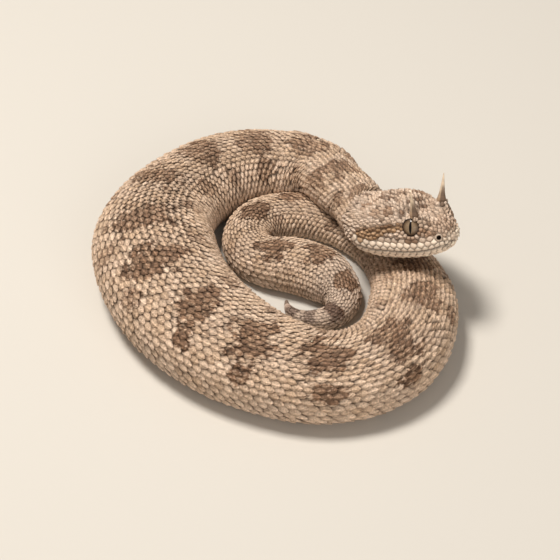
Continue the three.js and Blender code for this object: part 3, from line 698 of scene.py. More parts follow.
def build_scales(name, strip, u, v, long, wide, slant, roundness, keel, shade, piece_span):
    """Scales rooted at places on a strip. long and wide are in mm; piece_span is the piece's range of u."""
    count = len(u)
    outline = blend(SCALE_POINTED, SCALE_ROUND, roundness)
    x = (LENGTHWISE - 0.42) * deep(long) + 0 * SCALE_ACROSS
    y = outline[:, :, None] * SCALE_ACROSS * deep(wide) / 2
    turn = deep(rng.normal(0, 0.1, count) + slant)
    x, y = x * np.cos(turn) - y * np.sin(turn), y * np.cos(turn) + x * np.sin(turn)
    girth = deep(np.interp(u, strip.u, strip.girth))
    uu, vv = deep(u) + x, deep(v) + y / girth
    points, normals, pressed, _ = strip.at(uu, vv)
    depth, size, soft, keel = deep(coat_depth(u)), deep(pitch(u) * 0.1), deep(roundness), deep(keel)
    bulge = 1 - np.abs(SCALE_ACROSS) ** 2.4
    ridge = bump(SCALE_ACROSS, 0.16) * smooth(LENGTHWISE / 0.35)
    height = -depth * 0.95 + depth * 0.8 * smooth(LENGTHWISE / 0.9) + size * (0.7 + 0.6 * soft) * bulge
    height = height + size * keel * ridge * 1.1 + deep(rng.normal(0, 0.06, count))
    height = height + deep(rng.normal(0, 0.045, count)) * SCALE_ACROSS
    height = height + (0.034 - 0.018 * soft) * rng.normal(0, 1, x.shape)
    height = height - np.minimum(pressed, 0.6) * 0.5
    top = points + normals * height[..., None]
    floor = points - normals * (depth + 0.06)[..., None]
    top[..., 2] = np.maximum(top[..., 2], TOP_CLEAR)
    floor[..., 2] = np.maximum(floor[..., 2], ROOT_CLEAR)
    top, floor = top.reshape(count, -1, 3), floor.reshape(count, -1, 3)
    every = with_wall(top, SCALE_EDGE, floor[:, SCALE_EDGE])
    colours = paint_scales(u, uu, vv, points, girth + 0 * uu, deep(shade), keel, soft, ridge)
    faces = repeated(SCALE_FACES, count, every.shape[1])
    patch = np.stack([x / deep(long) * 0.9, y / deep(wide) * 0.9], -1).reshape(count, -1, 2)
    flat = with_wall(patch, SCALE_EDGE, patch[:, SCALE_EDGE])
    share = (u - piece_span[0]) / (piece_span[1] - piece_span[0])
    centre = 0.02 + 0.96 * np.stack([share, v], 1)
    uv = (centre[:, None] + flat * PATCH).reshape(-1, 2)[faces.ravel()]
    return new_object(name, every, faces, colours, uv)


def paint_scales(u, uu, vv, points, girth, shade, keel, soft, ridge):
    """Colours of scales rooted at u: flecked, painted with shade at the root, sides and walls, and with
    highlight along the keel and towards the tip.
    """
    count, grid = len(u), uu.shape
    # the hide is flecked darker at each scale's sides and root, as painted shade between the scales
    edge = np.abs(SCALE_ACROSS) ** 3 + (1 - smooth(LENGTHWISE / 0.4))
    fleck = 0.45 * deep(rng.uniform(-1, 1, count)) + 0.5 * rng.normal(0, 1, grid) - 0.3 * edge
    hide = body_colour(uu, vv, points, girth, shade, np.clip(fleck, -1, 1))
    root = hide[:, len(SCALE_LONG) // 2, len(SCALE_ACROSS) // 2]
    # painted highlight along the keel and towards the tip; painted shade beside the keel of pointed scales
    pale = 0.26 * ridge * (0.1 + keel) + 0.16 * smooth((LENGTHWISE - 0.3) / 0.6)
    pale = pale - 0.14 * (bump(np.abs(SCALE_ACROSS) - 0.5, 0.25) * (1 - soft))
    # painted shade at the root, which lies under the scale before, and at the sides, between neighbours
    dark = (0.78 + 0.17 * soft) * (1 - smooth(LENGTHWISE / 0.45))
    dark = dark + (0.42 - 0.12 * soft) * np.abs(SCALE_ACROSS) ** 4
    speckle = 0.19 - 0.1 * soft + 0.1 * deep(smooth((0.32 - root.mean(1)) / 0.12))
    tone = (0.9 + pale - dark * 0.85) * (1 + speckle * rng.normal(0, 1, grid))
    face = blend(hide * np.maximum(tone, 0.2)[..., None], GAP_SHADE_BROWN * 0.6, 0.5 * clamp(dark))
    face = face.reshape(count, -1, 3)
    # the walls and the edge above them are painted dark, as shade in the gaps between the scales
    tail = 0.8 * smooth((u - 350) / 20)[:, None] * np.ones(len(SCALE_EDGE))
    wall = blend(GAP_SHADE_BROWN * 0.5, root[:, None] * 0.5, tail)
    return with_wall(face, SCALE_EDGE, wall, 0.6)


SPINE_START = 389.6  # where the tail's last smooth spine takes over from the scales

ROW_PAIRS = 17  # rows of scales on each side of the spine's
SPACINGS = {2: (0, 0.4), 1: (0.4, 9)}  # spacing of a row's scales, and the stretch over which it holds
# Where along the body a pair of rows begins and ends, by its steps from the spine. They come and go two
# pairs at a time, so that neighbouring rows always alternate.
ROW_STARTS = {13: 28, 14: 30, 9: 50, 10: 52, 5: 76, 6: 78}
ROW_ENDS = {
    5: 222, 6: 224, 9: 242, 10: 244, 13: 262, 14: 264, 15: 366, 16: 367, 11: 374, 12: 375, 7: 382,
    8: 383, 3: 388, 4: 389,
}


def row_layout(u):
    """For each row, its weight, its middle and its width as shares of the way across, at places u."""
    rows = np.arange(-ROW_PAIRS, ROW_PAIRS + 1)
    full = (1 + 0.8 * (np.abs(rows) / ROW_PAIRS) ** 2.2)[:, None]
    start, end = (np.array([[places.get(abs(row), without)] for row in rows])
                  for places, without in ((ROW_STARTS, -50), (ROW_ENDS, 500)))
    weights = full * smooth((u - start) / 7 + 0.5) * (1 - smooth((u - end) / 4 + 0.5))
    total = weights.sum(0)
    middle = (np.cumsum(weights, 0) - weights / 2) / total
    return rows, weights / full, middle, weights / total


def place_scales():
    """Roots of all the scales of the body in alternating rows."""
    u_fine, step = counted_along(0, BODY_LENGTH, 1.0)
    rows, present, middle, width = row_layout(u_fine)
    found = []
    for n, row in enumerate(rows):
        # where a bend draws the skin together, the scales of a row are fewer and each is longer
        for spacing, (least, most) in SPACINGS.items():
            count = np.arange(0.0 if row % 2 else 0.5 * spacing, step[-1] - 1.2, spacing)
            u = np.interp(count, step, u_fine)
            v = np.interp(u, u_fine, middle[n])
            w = np.interp(u, u_fine, width[n])
            stretch = back.at(u, v)[3]
            keep = (np.interp(u, u_fine, present[n]) > 0.55) & (stretch >= least) & (stretch < most)
            keep &= u < SPINE_START + 1
            found.append(np.stack([u, v, w, np.full(len(u), row), np.full(len(u), spacing)], 1)[keep])
    return np.concatenate(found)


def add_tail_spine():
    """The smooth horny cone that ends the tail."""
    sides = 28
    turn = ring_turns(sides)
    u, rings, _ = body_rings(turn[None])
    u, rings = u[u > SPINE_START], rings[u > SPINE_START]
    share = (u - u[0]) / (u[-1] - u[0])
    middle = rings.mean(1, keepdims=True)
    points = middle + (rings - middle) * deep(1.06 - 1.02 * share**3)
    points[..., 2] = np.maximum(points[..., 2], TOP_CLEAR)
    faces = grid_faces(len(u), sides, closed=True)
    tone = blend(TAIL_GREY, TIP_CREAM, smooth(share / 0.6)[:, None] + 0 * turn)
    tone = tone * (1 + 0.08 * deep(np.sin(share * 40)))
    return new_object("tail_spine", points, faces, tone, tube_uv(faces, sides, len(u)))


BACK_EDGE = math.radians(54)
back = Strip(-BACK_EDGE, math.pi + BACK_EDGE, 181)
belly = Strip(math.pi + BACK_EDGE, 2 * math.pi - BACK_EDGE, 61)

LENGTHS = [0, 66, 104, 136, 168, 206, 262, 330, BODY_LENGTH + 1]


def add_body_scales():
    """All the scales of the back and the flanks, one piece for each length of the body."""
    made = []
    u, v, w, row, spacing = place_scales().T
    shade = random_shades(len(u))
    girth = np.interp(u, back.u, back.girth)
    side = np.abs(row) / ROW_PAIRS
    keel = (1 - 0.6 * smooth((side - 0.62) / 0.35)) * (1 - 0.8 * smooth((u - 360) / 12))
    # On flanks drawn together by a bend the scales lie aslant, in columns that run down to the belly.
    drawn = clamp((0.93 - back.at(u, v)[3]) / 0.22)
    lean = smooth((side - 0.1) / 0.3) * drawn * (1 - 0.75 * smooth((u - 332) / 12))
    roundness = np.maximum(0.15 + 0.85 * smooth((side - 0.2) / 0.4), 0.8 * lean)
    across = w * girth
    diagonal = np.arctan2(across, pitch(u) / 2)
    slant = np.sign(row) * lean * diagonal
    long = blend_numbers((1.48 - 0.1 * roundness) * pitch(u), 1.4 * np.hypot(across, pitch(u) / 2), lean)
    wide = (1.25 + 0.17 * smooth((side - 0.3) / 0.4)) * across
    wide = blend_numbers(wide, 1.12 * spacing * pitch(u) * np.sin(diagonal), lean)
    long, wide = long * rng.uniform(0.9, 1.1, len(u)), wide * rng.uniform(0.9, 1.1, len(u))
    u = np.clip(u + rng.normal(0, 0.05, len(u)) * pitch(u), 0, BODY_LENGTH)
    v = v + rng.normal(0, 0.06, len(u)) * w
    for n, (first, last) in enumerate(zip(LENGTHS, LENGTHS[1:])):
        here = (u >= first) & (u < last)
        fields = (a[here] for a in (u, v, long, wide, slant, roundness, keel, shade))
        made.append(build_scales(f"scales_{n + 1}", back, *fields, (first, last)))
    return made


def add_ventrals():
    """Broad plates across the belly, each overlapping the next."""
    u_fine, step = counted_along(0.5, BODY_LENGTH - 4, 1.02)
    u = np.interp(np.arange(0, step[-1]), step, u_fine)
    rows, columns = 5, 17
    lengthwise, across = np.linspace(-0.25, 1.15, rows)[None, :, None], np.linspace(-1, 1, columns)
    x = lengthwise * deep(pitch(u)) + np.zeros(columns)
    vv = 0.5 + 0.5 * 1.02 * across + 0 * x
    points, normals, _, _ = belly.at(deep(u) + x * (1 - 0.35 * np.abs(across) ** 5), vv)
    depth = deep(coat_depth(u)) * 0.5
    lift = np.linspace(0, 1, rows)[None, :, None]
    height = -depth * (1 - lift) * 0.9 - 0.02
    top = points + normals * height[..., None]
    top[..., 2] = np.maximum(top[..., 2], 0.0)
    faces = repeated(grid_faces(rows, columns), len(u), rows * columns)
    shade = rng.normal(0, 0.3, len(u))
    # painted shade: each plate is darker at its front, where it lies under the plate before
    tone = (0.8 + 0.2 * lift + 0.05 * deep(shade)) * np.ones_like(x)
    shares = np.linspace(-0.5, 0.5, rows), np.linspace(-0.5, 0.5, columns)
    flat = np.stack(np.meshgrid(*shares, indexing="ij"), -1)
    centre = np.stack([0.02 + 0.96 * u / BODY_LENGTH, np.full(len(u), 0.5)], 1)
    uv = (centre[:, None, None] + flat * (PATCH, 0.9)).reshape(-1, 2)[faces.ravel()]
    return new_object("ventral_scutes", top, faces, BELLY_CREAM * tone[..., None], uv)


# ---------- the skin ----------
SKIN_SIDES = 112
UPPER_SIDES = 72  # from one corner of the mouth over the crown to the other
SKIN_ROWS = 5  # strips of the skin's unwrap
HEAD_RINGS = 120
SNOUT_INSET, NOSTRIL_DEPTH = 0.3, 1.2
GROOVE_DEPTH, GROOVE_END = 0.55, 29.9  # the groove of the mouth, and where it fades at the snout
MOUTH_CROWDING = (0.0, 1.3, 3.0)  # degrees from the mouth's line at which the first columns lie


def mouth_angle(x):
    """The angle of the left side's section at which the mouth's line lies."""
    angles = np.radians(np.linspace(-89, 45, 269))
    heights = head_shape(np.asarray(x)[:, None], angles)[..., 2]
    lines = mouth_line(x)
    return np.array([np.interp(line, row, angles) for line, row in zip(lines, heights)])


def column_angles(start):
    """Angles of the skin's columns round the head, crowded by the mouth's line at the angles given."""
    none, near, clear = np.radians(MOUTH_CROWDING)
    out = []
    for m in start:
        right, whole = math.pi - m, 2 * math.pi + m
        upper = np.linspace(m + clear, right - clear, UPPER_SIDES - 4)
        lower = np.linspace(right + clear, whole - clear, SKIN_SIDES - UPPER_SIDES - 2)
        corner = right - near, right - none, right + near
        out.append([m + none, m + near, *upper, *corner, *lower, whole - near])
    return np.array(out)


# The dark stripe from the eye to the angle of the jaw: places along the head, and its edges there.
STRIPE_TOP = [1, 3.8, 6.4, 9.8, 12.5, 14.8, 18.5], [4.2, 5.0, 6.3, 7.1, 7.9, 8.4, 8.9]
STRIPE_LOW = [1, 4, 8, 11, 13.6, 15.8, 18.5], [2.0, 1.6, 2.6, 3.7, 5.2, 6.2, 7.5]


def head_colour(local, shade):
    """Colour of the head's hide at places in its own frame: pale lips, a flecked crown, a striped cheek, and
    painted light on the lower lip.
    """
    x, y, z = local[..., 0], np.abs(local[..., 1]), local[..., 2]
    above = z - mouth_line(x)
    world = head_point(local)
    fine = ripple(world, 2.4, 11)
    lips = smooth((4.4 - above) / 1.6) * smooth((x + 0.5) / 2.5)
    flecks = smooth((ripple(world, 4.2, 13) - 0.3) / 0.3) * smooth((z - 8) / 2) * smooth((22 - x) / 6)
    top, low = np.interp(x, *STRIPE_TOP), np.interp(x, *STRIPE_LOW)
    inside = smooth((top - z) / 0.5 + 0.5) * smooth((z - low) / 0.5 + 0.5)
    stripe = inside * smooth((x - 2.4) / 1.2) * smooth((20.5 - x) / 1.0) * smooth((y - 5) / 2)
    stripe_colour = blend(STRIPE_TAN, STRIPE_BROWN, clamp(0.5 + 0.7 * shade + 0.4 * fine))
    upper_rim = stripe * bump(z - top + 0.3, 0.55)
    colour = layered(SAND, (GREY_SAND, clamp(0.25 + 0.4 * ripple(world, 7.0, 12) + 0.25 * shade)),
                     (CREAM, 0.25 + 0.2 * shade))
    colour = colour * (1 - 0.1 * (1 - lips))[..., None]
    colour = blend(colour, LIP_CREAM, clamp(0.85 * lips + 0.1 * shade))
    # painted light: the lower lip is brightened, as if lit from below by the floor
    colour = colour * (1 + 0.1 * lips * smooth(-above / 0.5))[..., None]
    colour = layered(
        colour,
        (BROWN, clamp(0.72 * flecks * (0.7 + 0.6 * shade))),
        (DARK, 0.62 * smooth((-shade - 0.45) / 0.2) * (1 - lips)),
        (stripe_colour, clamp(stripe)),
        (DARK, clamp(0.7 * upper_rim)),
        (RUST, 0.3 * smooth((x - 23) / 3) * (1 - lips)),
    )
    for *at, size, strength in FACE_MARKS:
        far = distance_from(local, at) / size + 0.25 * fine
        colour = blend(colour, RUST, clamp(smooth((1.2 - far) / 0.5) * strength))
    for *at, size in CROWN_MARKS:
        far = np.linalg.norm(local - at, axis=-1) / size + 0.3 * fine
        colour = blend(colour, BROWN * 0.75, 0.8 * smooth((1.25 - far) / 0.4))
    return colour * (1 + (0.22 - 0.14 * lips)[..., None] * shade[..., None])


def head_depth(x):
    """How far the skin lies inside the head's scales."""
    start = float(coat_depth(0.0))
    return 0.3 + (start - 0.3) * smooth((2 - x) / 8)


def distance_from(local, spot):
    """Distance on the head from a spot or from its like on the right side."""
    place = np.stack([local[..., 0], np.abs(local[..., 1]), local[..., 2]], -1)
    return np.linalg.norm(place - spot, axis=-1)


def head_rings():
    """Rings of the skin of the head from the nape to the snout, their colours and their angles."""
    x = NAPE + (HEAD_LENGTH - SNOUT_INSET - NAPE) * (1 - (1 - np.linspace(0, 1, HEAD_RINGS)) ** 1.6)
    angles = column_angles(mouth_angle(x))
    local = head_shape(x[:, None], angles)
    world = head_point(local)
    # the line of the mouth, a groove between the lips
    line = np.zeros(SKIN_SIDES)
    line[[0, UPPER_SIDES - 1]] = 1
    line[[SKIN_SIDES - 1, 1, UPPER_SIDES - 2, UPPER_SIDES]] = 0.35
    groove = line * (smooth((x + 1.0) / 2.5) * smooth((GROOVE_END - x) / 0.6))[:, None]
    pit = smooth((1.05 - distance_from(local, NOSTRIL)) / 0.35)
    depth = head_depth(x)[:, None] + GROOVE_DEPTH * groove + NOSTRIL_DEPTH * pit
    # the head's skin is painted darker than its scales, as shade between them, and dark in the mouth's groove
    # and the nostril's pit as painted shade
    tint = head_colour(local, np.zeros(depth.shape)) * 0.62
    tint = blend(tint, DARK * 0.35, clamp(0.9 * groove + pit))
    return x, angles, world + outward(world, closed=True) * depth[..., None], tint


def add_skin():
    """One skin from the snout to the tail's tip, inside the solids by the depth of the scales."""
    x, head_angles, head_points, head_tint = head_rings()
    # the body's columns ease from the head's angles to even ones
    even = column_angles(np.zeros(1))
    ease = smooth(body_rings(even)[0] / 14)[:, None]
    angles = head_angles[:1] * (1 - ease) + even * ease
    u, rings, _ = body_rings(angles)
    coarse = np.unique(np.r_[np.arange(30), np.arange(30, len(u), 2), len(u) - 1])
    u, rings, angles = u[coarse], rings[coarse], angles[coarse]
    inset = coat_depth(u)[:, None] * (1 - 0.5 * smooth((-np.sin(angles) - 0.7) / 0.15))
    inset = np.minimum(inset, 0.35 * np.ptp(rings[..., 2], axis=1)[:, None])
    body_points = rings - outward(rings, closed=True) * inset[..., None]
    v = (angles + BACK_EDGE) / (math.pi + 2 * BACK_EDGE)
    girth = np.interp(u, back.u, back.girth)[:, None] + 0 * v
    tint = body_colour(u[:, None] + 0 * v, clamp(v), rings, girth, 0 * v, 0 * v)
    under = smooth((v - 1.01) / 0.04) * smooth((1.49 - v) / 0.04)
    # the skin is painted darker than the hide, as shade between and under the scales and under the belly
    # plates
    tint = blend(blend(tint, GAP_SHADE_BROWN, 0.5 + 0 * v) * 0.6, BELLY_CREAM * 0.7, under)
    points = np.concatenate([head_points[::-1], body_points])
    colours = np.concatenate([head_tint[::-1], tint])
    faces = grid_faces(len(points), SKIN_SIDES, closed=True)
    along = np.concatenate([NAPE - x[::-1], u])
    column, row = tube_places(faces, SKIN_SIDES)
    uv = skin_unwrap((along[row] - along[0]) / np.ptp(along), column)
    made = new_object("skin", points, faces, colours, uv)
    close_ends(made)
    return made


def skin_unwrap(along, round_share):
    """The body's length laid out in several strips, one above the other."""
    strip = np.minimum((along.min(1) * SKIN_ROWS).astype(int), SKIN_ROWS - 1)[:, None]
    return np.stack([0.01 + 0.98 * (along * SKIN_ROWS - strip) * 0.96,
                     (strip + 0.03 + 0.94 * round_share) / SKIN_ROWS], -1)


def close_ends(made):
    """Closes the first and last ring of a tube with a flat face."""
    mesh = bmesh.new()
    mesh.from_mesh(made.data)
    bmesh.ops.holes_fill(mesh, edges=[e for e in mesh.edges if e.is_boundary], sides=SKIN_SIDES + 1)
    mesh.to_mesh(made.data)
    mesh.free()


# ---------- scales of the head ----------
def head_jacobian(x, angle):
    """The head's surface, its slopes along x and angle, and its outward normal."""
    e = 1e-3
    base = head_shape(x, angle)
    dx = (head_shape(x + e, angle) - head_shape(x - e, angle)) / (2 * e)
    da = (head_shape(x, angle + e) - head_shape(x, angle - e)) / (2 * e)
    normal = unit(np.cross(dx, da))
    inside = np.stack([np.minimum(x, 26.0), 0 * x, 0 * x + 4.0], -1)
    return base, dx, da, normal * np.sign((normal * (base - inside)).sum(-1))[..., None]


CROWN_KIND, LABIAL_KIND, CHIN_KIND, ORBIT_KIND, HORN_KIND = range(5)  # kinds of scale on the head
ORBIT_SCALES, ORBIT_REACH = 16, 3.35
HORN_SCALES, HORN_SCALES_REACH = 8, 2.2
TIP_CLEAR = 1.8  # kept clear about the snout's tip
TRIES, CELL_SIZE, CROWDING = 26000, 2.0, 0.86  # random places, grid for the search, how near scales may be
HORN_CLEAR, EYE_CLEAR, NOSTRIL_CLEAR = 2.9, 3.6, 1.75
MOUTH_CLEAR, MOUTH_END = 1.3, 29.4  # kept for the rows of the lips, up to the snout
LABIAL_ROWS = [0.85, 2.5, 4.1]  # distance from the line of the mouth along the skin
LOWER_ROWS = [0.8, 2.4]
LABIAL_PITCH = 2.7, 2.0  # at the jaw and at the snout
LABIAL_END = 29.7


def angle_at_arc(x, arc, lower=False):
    """Angle on the left at a distance along the skin above (or below) the line of the mouth."""
    angles = mouth_angle(x)[:, None] + np.linspace(0, 1.3, 260) * (-1 if lower else 1)
    points = head_shape(x[:, None], angles)
    away = np.cumsum(np.linalg.norm(np.diff(points[..., 1:], axis=1), axis=2), 1)
    return np.array([np.interp(arc, [0, *a], t) for a, t in zip(away, angles)])


def on_both_sides(left):
    """Places of scales, as rows of x, angle, kind and clear radius, on the left and the right."""
    right = left.copy()
    right[:, 1] = math.pi - right[:, 1]
    return np.concatenate([left, right])


def lip_places():
    """Rows of scales along the upper and the lower lip, smaller towards the snout."""
    found = []
    for rows, lower in ((LABIAL_ROWS, False), (LOWER_ROWS, True)):
        for n, arc in enumerate(rows):
            x = [12.0 if arc > 4 else 0.4 + 0.5 * LABIAL_PITCH[0] * (n % 2)]
            end = LABIAL_END - 0.5 * n - (0.9 if lower else 0)
            while x[-1] < end:
                steep = 1 - 0.6 * smooth(np.array((x[-1] - 22) / 8))
                x.append(x[-1] + np.interp(x[-1], [0, 18], LABIAL_PITCH) * float(steep))
            x = np.array(x[:-1])
            clear = 0.12 + 0.58 * np.interp(x, [0, 18], LABIAL_PITCH)
            found.append(np.stack([x, angle_at_arc(x, arc, lower), np.full(len(x), LABIAL_KIND), clear], 1))
    left = np.concatenate(found)
    at = head_shape(left[:, 0], left[:, 1])
    clear = (distance_from(at, NOSTRIL) > 1.6) & (distance_from(at, SNOUT_TIP) > TIP_CLEAR)
    return on_both_sides(left[clear])


def orbit_places():
    """A ring of small scales round each eye and each horn."""
    across, over = side_axes(EYE_FACING)
    turn = ring_turns(ORBIT_SCALES)[:, None] + math.pi / ORBIT_SCALES
    around = EYE + ORBIT_REACH * (np.cos(turn) * across + np.sin(turn) * over)
    turn = ring_turns(HORN_SCALES)[:, None]
    foot = HORN_AT + HORN_SCALES_REACH * np.concatenate([np.cos(turn), np.sin(turn), 0 * turn], 1)
    clear = np.linalg.norm(foot[:, None] - around[None], axis=2).min(1) > 1.0
    found = nearest_places(around, ORBIT_KIND) + nearest_places(foot[clear], HORN_KIND)
    return on_both_sides(np.array(found))


def nearest_places(points, kind):
    """The places of the head's surface that lie nearest to points in its own frame."""
    x = np.linspace(NAPE, HEAD_LENGTH - 0.02, 220)
    angle = np.radians(np.linspace(-180, 180, 721)[:-1])
    tree = tree_of(head_shape(x[:, None], angle).reshape(-1, 3))
    found = [divmod(tree.find(p)[1], len(angle)) for p in points]
    return [(x[row], angle[column], kind, 1.03) for row, column in found]


def spread_places(fixed):
    """Fills the head between the fixed places with scales of even size, none too near another."""
    x = rng.uniform(NAPE - 0.2, HEAD_LENGTH - 0.1, TRIES)
    angle = rng.uniform(-math.pi, math.pi, TRIES)
    points = head_shape(x, angle)
    above = points[:, 2] - mouth_line(x)
    size = np.where(above > 0, 1.2 - 0.12 * smooth((x - 20) / 8), 1.75) * rng.uniform(0.88, 1.2, TRIES)
    horn = np.hypot(points[:, 0] - HORN_AT[0], np.abs(points[:, 1]) - HORN_AT[1])
    in_mouth = (np.abs(above) < MOUTH_CLEAR) & (x > 1) & (x < MOUTH_END)
    free = ~in_mouth & ((horn > HORN_CLEAR) | (points[:, 2] < 8))
    for spot, clear in ((EYE, EYE_CLEAR), (NOSTRIL, NOSTRIL_CLEAR), (SNOUT_TIP, TIP_CLEAR)):
        free &= distance_from(points, spot) > clear
    kept, radius, grid, chosen = [], [], {}, []

    def cell(p):
        return tuple(int(c // CELL_SIZE) for c in p)

    def keep(p, reach):
        grid.setdefault(cell(p), []).append(len(kept))
        kept.append(Vector(p))
        radius.append(reach)

    def crowded(p, reach):
        for step in product((-1, 0, 1), repeat=3):
            for n in grid.get(tuple(a + b for a, b in zip(cell(p), step)), ()):
                far = sum((a - b) ** 2 for a, b in zip(kept[n], p))
                if far < (CROWDING * (reach + radius[n]) / 2) ** 2:
                    return True
        return False

    for p, reach in zip(head_shape(fixed[:, 0], fixed[:, 1]), fixed[:, 3] / 0.43 - 1.2):
        keep(p, reach)
    for i in np.flatnonzero(free):
        if not crowded(points[i], size[i]):
            keep(points[i], size[i])
            chosen.append(i)
    kind = np.where(above[chosen] > 0, CROWN_KIND, CHIN_KIND)
    return np.stack([x[chosen], angle[chosen], kind], 1)


HOLE_RIMS = 1.12, 2.6, 1.3  # radii kept clear of scales about a nostril, an eye and the snout's tip
LIP_PINCH, PINCH_END = 0.42, 30.1  # how far scales sink at the line of the mouth, and where that ends
CELL_SIDES = 14
CELL_RINGS = np.array([0.0, 0.42, 0.74, 0.93, 1.0])
# One number for each kind of scale.
CEILING, SHRINK = [0.85, 2.1, 1.7, 0.8, 1.1], [0.97, 0.95, 0.96, 0.98, 0.98]
OVERLAP, TILT = [0.25, 0.06, 0.1, 0.05, 0.05], [0.28, 0.05, 0.08, 0.04, 0.0]
DOME, KEEL = [0.2, 0.21, 0.24, 0.4, 0.6], [0.36, 0.0, 0.03, 0.06, 0.1]
UNEVEN = [0.1, 0.03, 0.02, 0.05, 0.1]


def cell_reaches(base, ahead, aside, ceiling):
    """How far each scale reaches each way, up to half way to its neighbours and clear of the holes."""
    count = len(base)
    holes = [mirrored(spot, side) for spot in (NOSTRIL, EYE) for side in (1, -1)] + [SNOUT_TIP]
    tree = tree_of(np.concatenate([base, holes]))
    reach = np.empty((count, CELL_SIDES))
    for i in range(count):
        near = [(p, j) for p, j, away in tree.find_n(base[i], 12) if j != i and away > 0.15]
        step = np.array([p for p, j in near]) - base[i]
        flat = np.stack([step @ ahead[i], step @ aside[i]], 1)
        far = np.linalg.norm(flat, axis=1)
        rims = np.array([HOLE_RIMS[(j - count) // 2] if j >= count else 0.0 for p, j in near])
        far = np.where(rims > 0, np.maximum(2 * (far - rims), 0.5), far)
        cosine = np.cos(ring_turns(CELL_SIDES)[:, None] - np.arctan2(flat[:, 1], flat[:, 0]))
        inverse = np.c_[np.maximum(cosine, 0.02) * 2 / far, np.full(CELL_SIDES, 1 / ceiling[i])]
        reach[i] = (inverse**9).sum(1) ** (-1 / 9)
    return reach


def on_head(x, angle, moved, base, dx, da):
    """Points of the head's surface at offsets from places on it, by solving for the steps in x and angle."""
    a, b, c = (deep((m * n).sum(-1)) for m, n in ((dx, dx), (dx, da), (da, da)))
    p, q = ((moved * m[:, None, None]).sum(-1) for m in (dx, da))
    det = np.maximum(a * c - b * b, 1e-6)
    forward = np.clip(deep(x) + (p * c - q * b) / det, NAPE - 1, HEAD_LENGTH)
    exact = head_shape(forward, deep(angle) + (q * a - p * b) / det)
    tangent = base[:, None, None] + moved
    strayed = np.linalg.norm(exact - tangent, axis=-1)
    return blend(exact, tangent, smooth((strayed - 0.15) / 0.25))


def build_head_scales(places):
    """A low keeled dome for each place, as far out as its neighbours allow."""
    x, angle, kind = places[:, 0], places[:, 1], places[:, 2].astype(int)
    base, dx, da, normal = head_jacobian(x, angle)
    count = len(x)
    backward = np.array([-1.0, 0, 0])
    ahead = unit(backward - normal * (normal @ backward)[:, None])
    aside = np.cross(normal, ahead)
    turn, rho = ring_turns(CELL_SIDES), CELL_RINGS[:, None]
    ceiling, shrink, overlap, uneven = (np.choose(kind, each) for each in (CEILING, SHRINK, OVERLAP, UNEVEN))
    tilt, dome, keel_height = (deep(np.choose(kind, each)) for each in (TILT, DOME, KEEL))
    reach = cell_reaches(base, ahead, aside, ceiling) * shrink[:, None]
    # every scale reaches a little over its hinder neighbour
    reach = reach * (1 + overlap[:, None] * clamp(np.cos(turn)) ** 2)
    spread = turn[:, None]
    direction = ahead[:, None, None] * np.cos(spread) + aside[:, None, None] * np.sin(spread)
    exact = on_head(x, angle, (reach[:, None] * rho)[..., None] * direction, base, dx, da)
    size = deep(reach.mean(1))
    dome, keel_height = dome * size / 0.7, keel_height * size / 0.7
    toward, across = rho * np.cos(turn), rho * np.sin(turn)
    keel = bump(across, 0.24) * smooth((toward + 1.0) / 1.2)
    lips = deep(kind == LABIAL_KIND)
    rise = -0.2 + dome * (1 - rho ** np.where(lips, 4, 3)) + keel_height * keel
    rise = rise + tilt * toward * rho + deep(rng.normal(0, 1, count) * uneven)
    rise = rise + rng.normal(0, 0.012, rise.shape) * (rho > 0) * np.where(lips, 0.3, 1)
    forward = exact[..., 0]
    by_mouth = bump(exact[..., 2] - mouth_line(forward), 0.34) * smooth((forward + 1) / 2.5)
    by_mouth = by_mouth * smooth((PINCH_END - forward) / 0.6)
    top = exact + normal[:, None, None] * (rise - LIP_PINCH * by_mouth)[..., None]
    every = np.concatenate([top.reshape(count, -1, 3), top[:, -1], exact[:, -1] - normal[:, None] * 0.5], 1)
    colours = paint_head_scales(base, lips, keel * (keel_height > 0.1), by_mouth).reshape(-1, 3)
    walls = np.roll(grid_faces(2, CELL_SIDES, closed=True), -1, 1) + len(CELL_RINGS) * CELL_SIDES
    template = np.concatenate([grid_faces(len(CELL_RINGS), CELL_SIDES, closed=True), walls])
    faces = repeated(template, count, every.shape[1])
    flat = 0.48 * np.stack([toward, across], -1)
    flat = np.concatenate([flat.reshape(-1, 2), flat[-1], flat[-1]])
    round_share = (angle + math.pi / 2) / (2 * math.pi) % 1
    centre = 0.03 + 0.94 * np.stack([(x - NAPE) / (HEAD_LENGTH - NAPE), round_share], 1)
    uv = (centre[:, None] + flat * PATCH).reshape(-1, 2)[faces.ravel()].reshape(-1, 4, 2)
    of_lips = np.repeat(kind == LABIAL_KIND, len(template))
    world = head_point(every.reshape(-1, 3))
    made = []
    for name, chosen in (("head_scales", ~of_lips), ("lip_scales", of_lips)):
        used, corners = np.unique(faces[chosen], return_inverse=True)
        made.append(new_object(name, world[used], corners.reshape(-1, 4), colours[used], uv[chosen]))
    return made


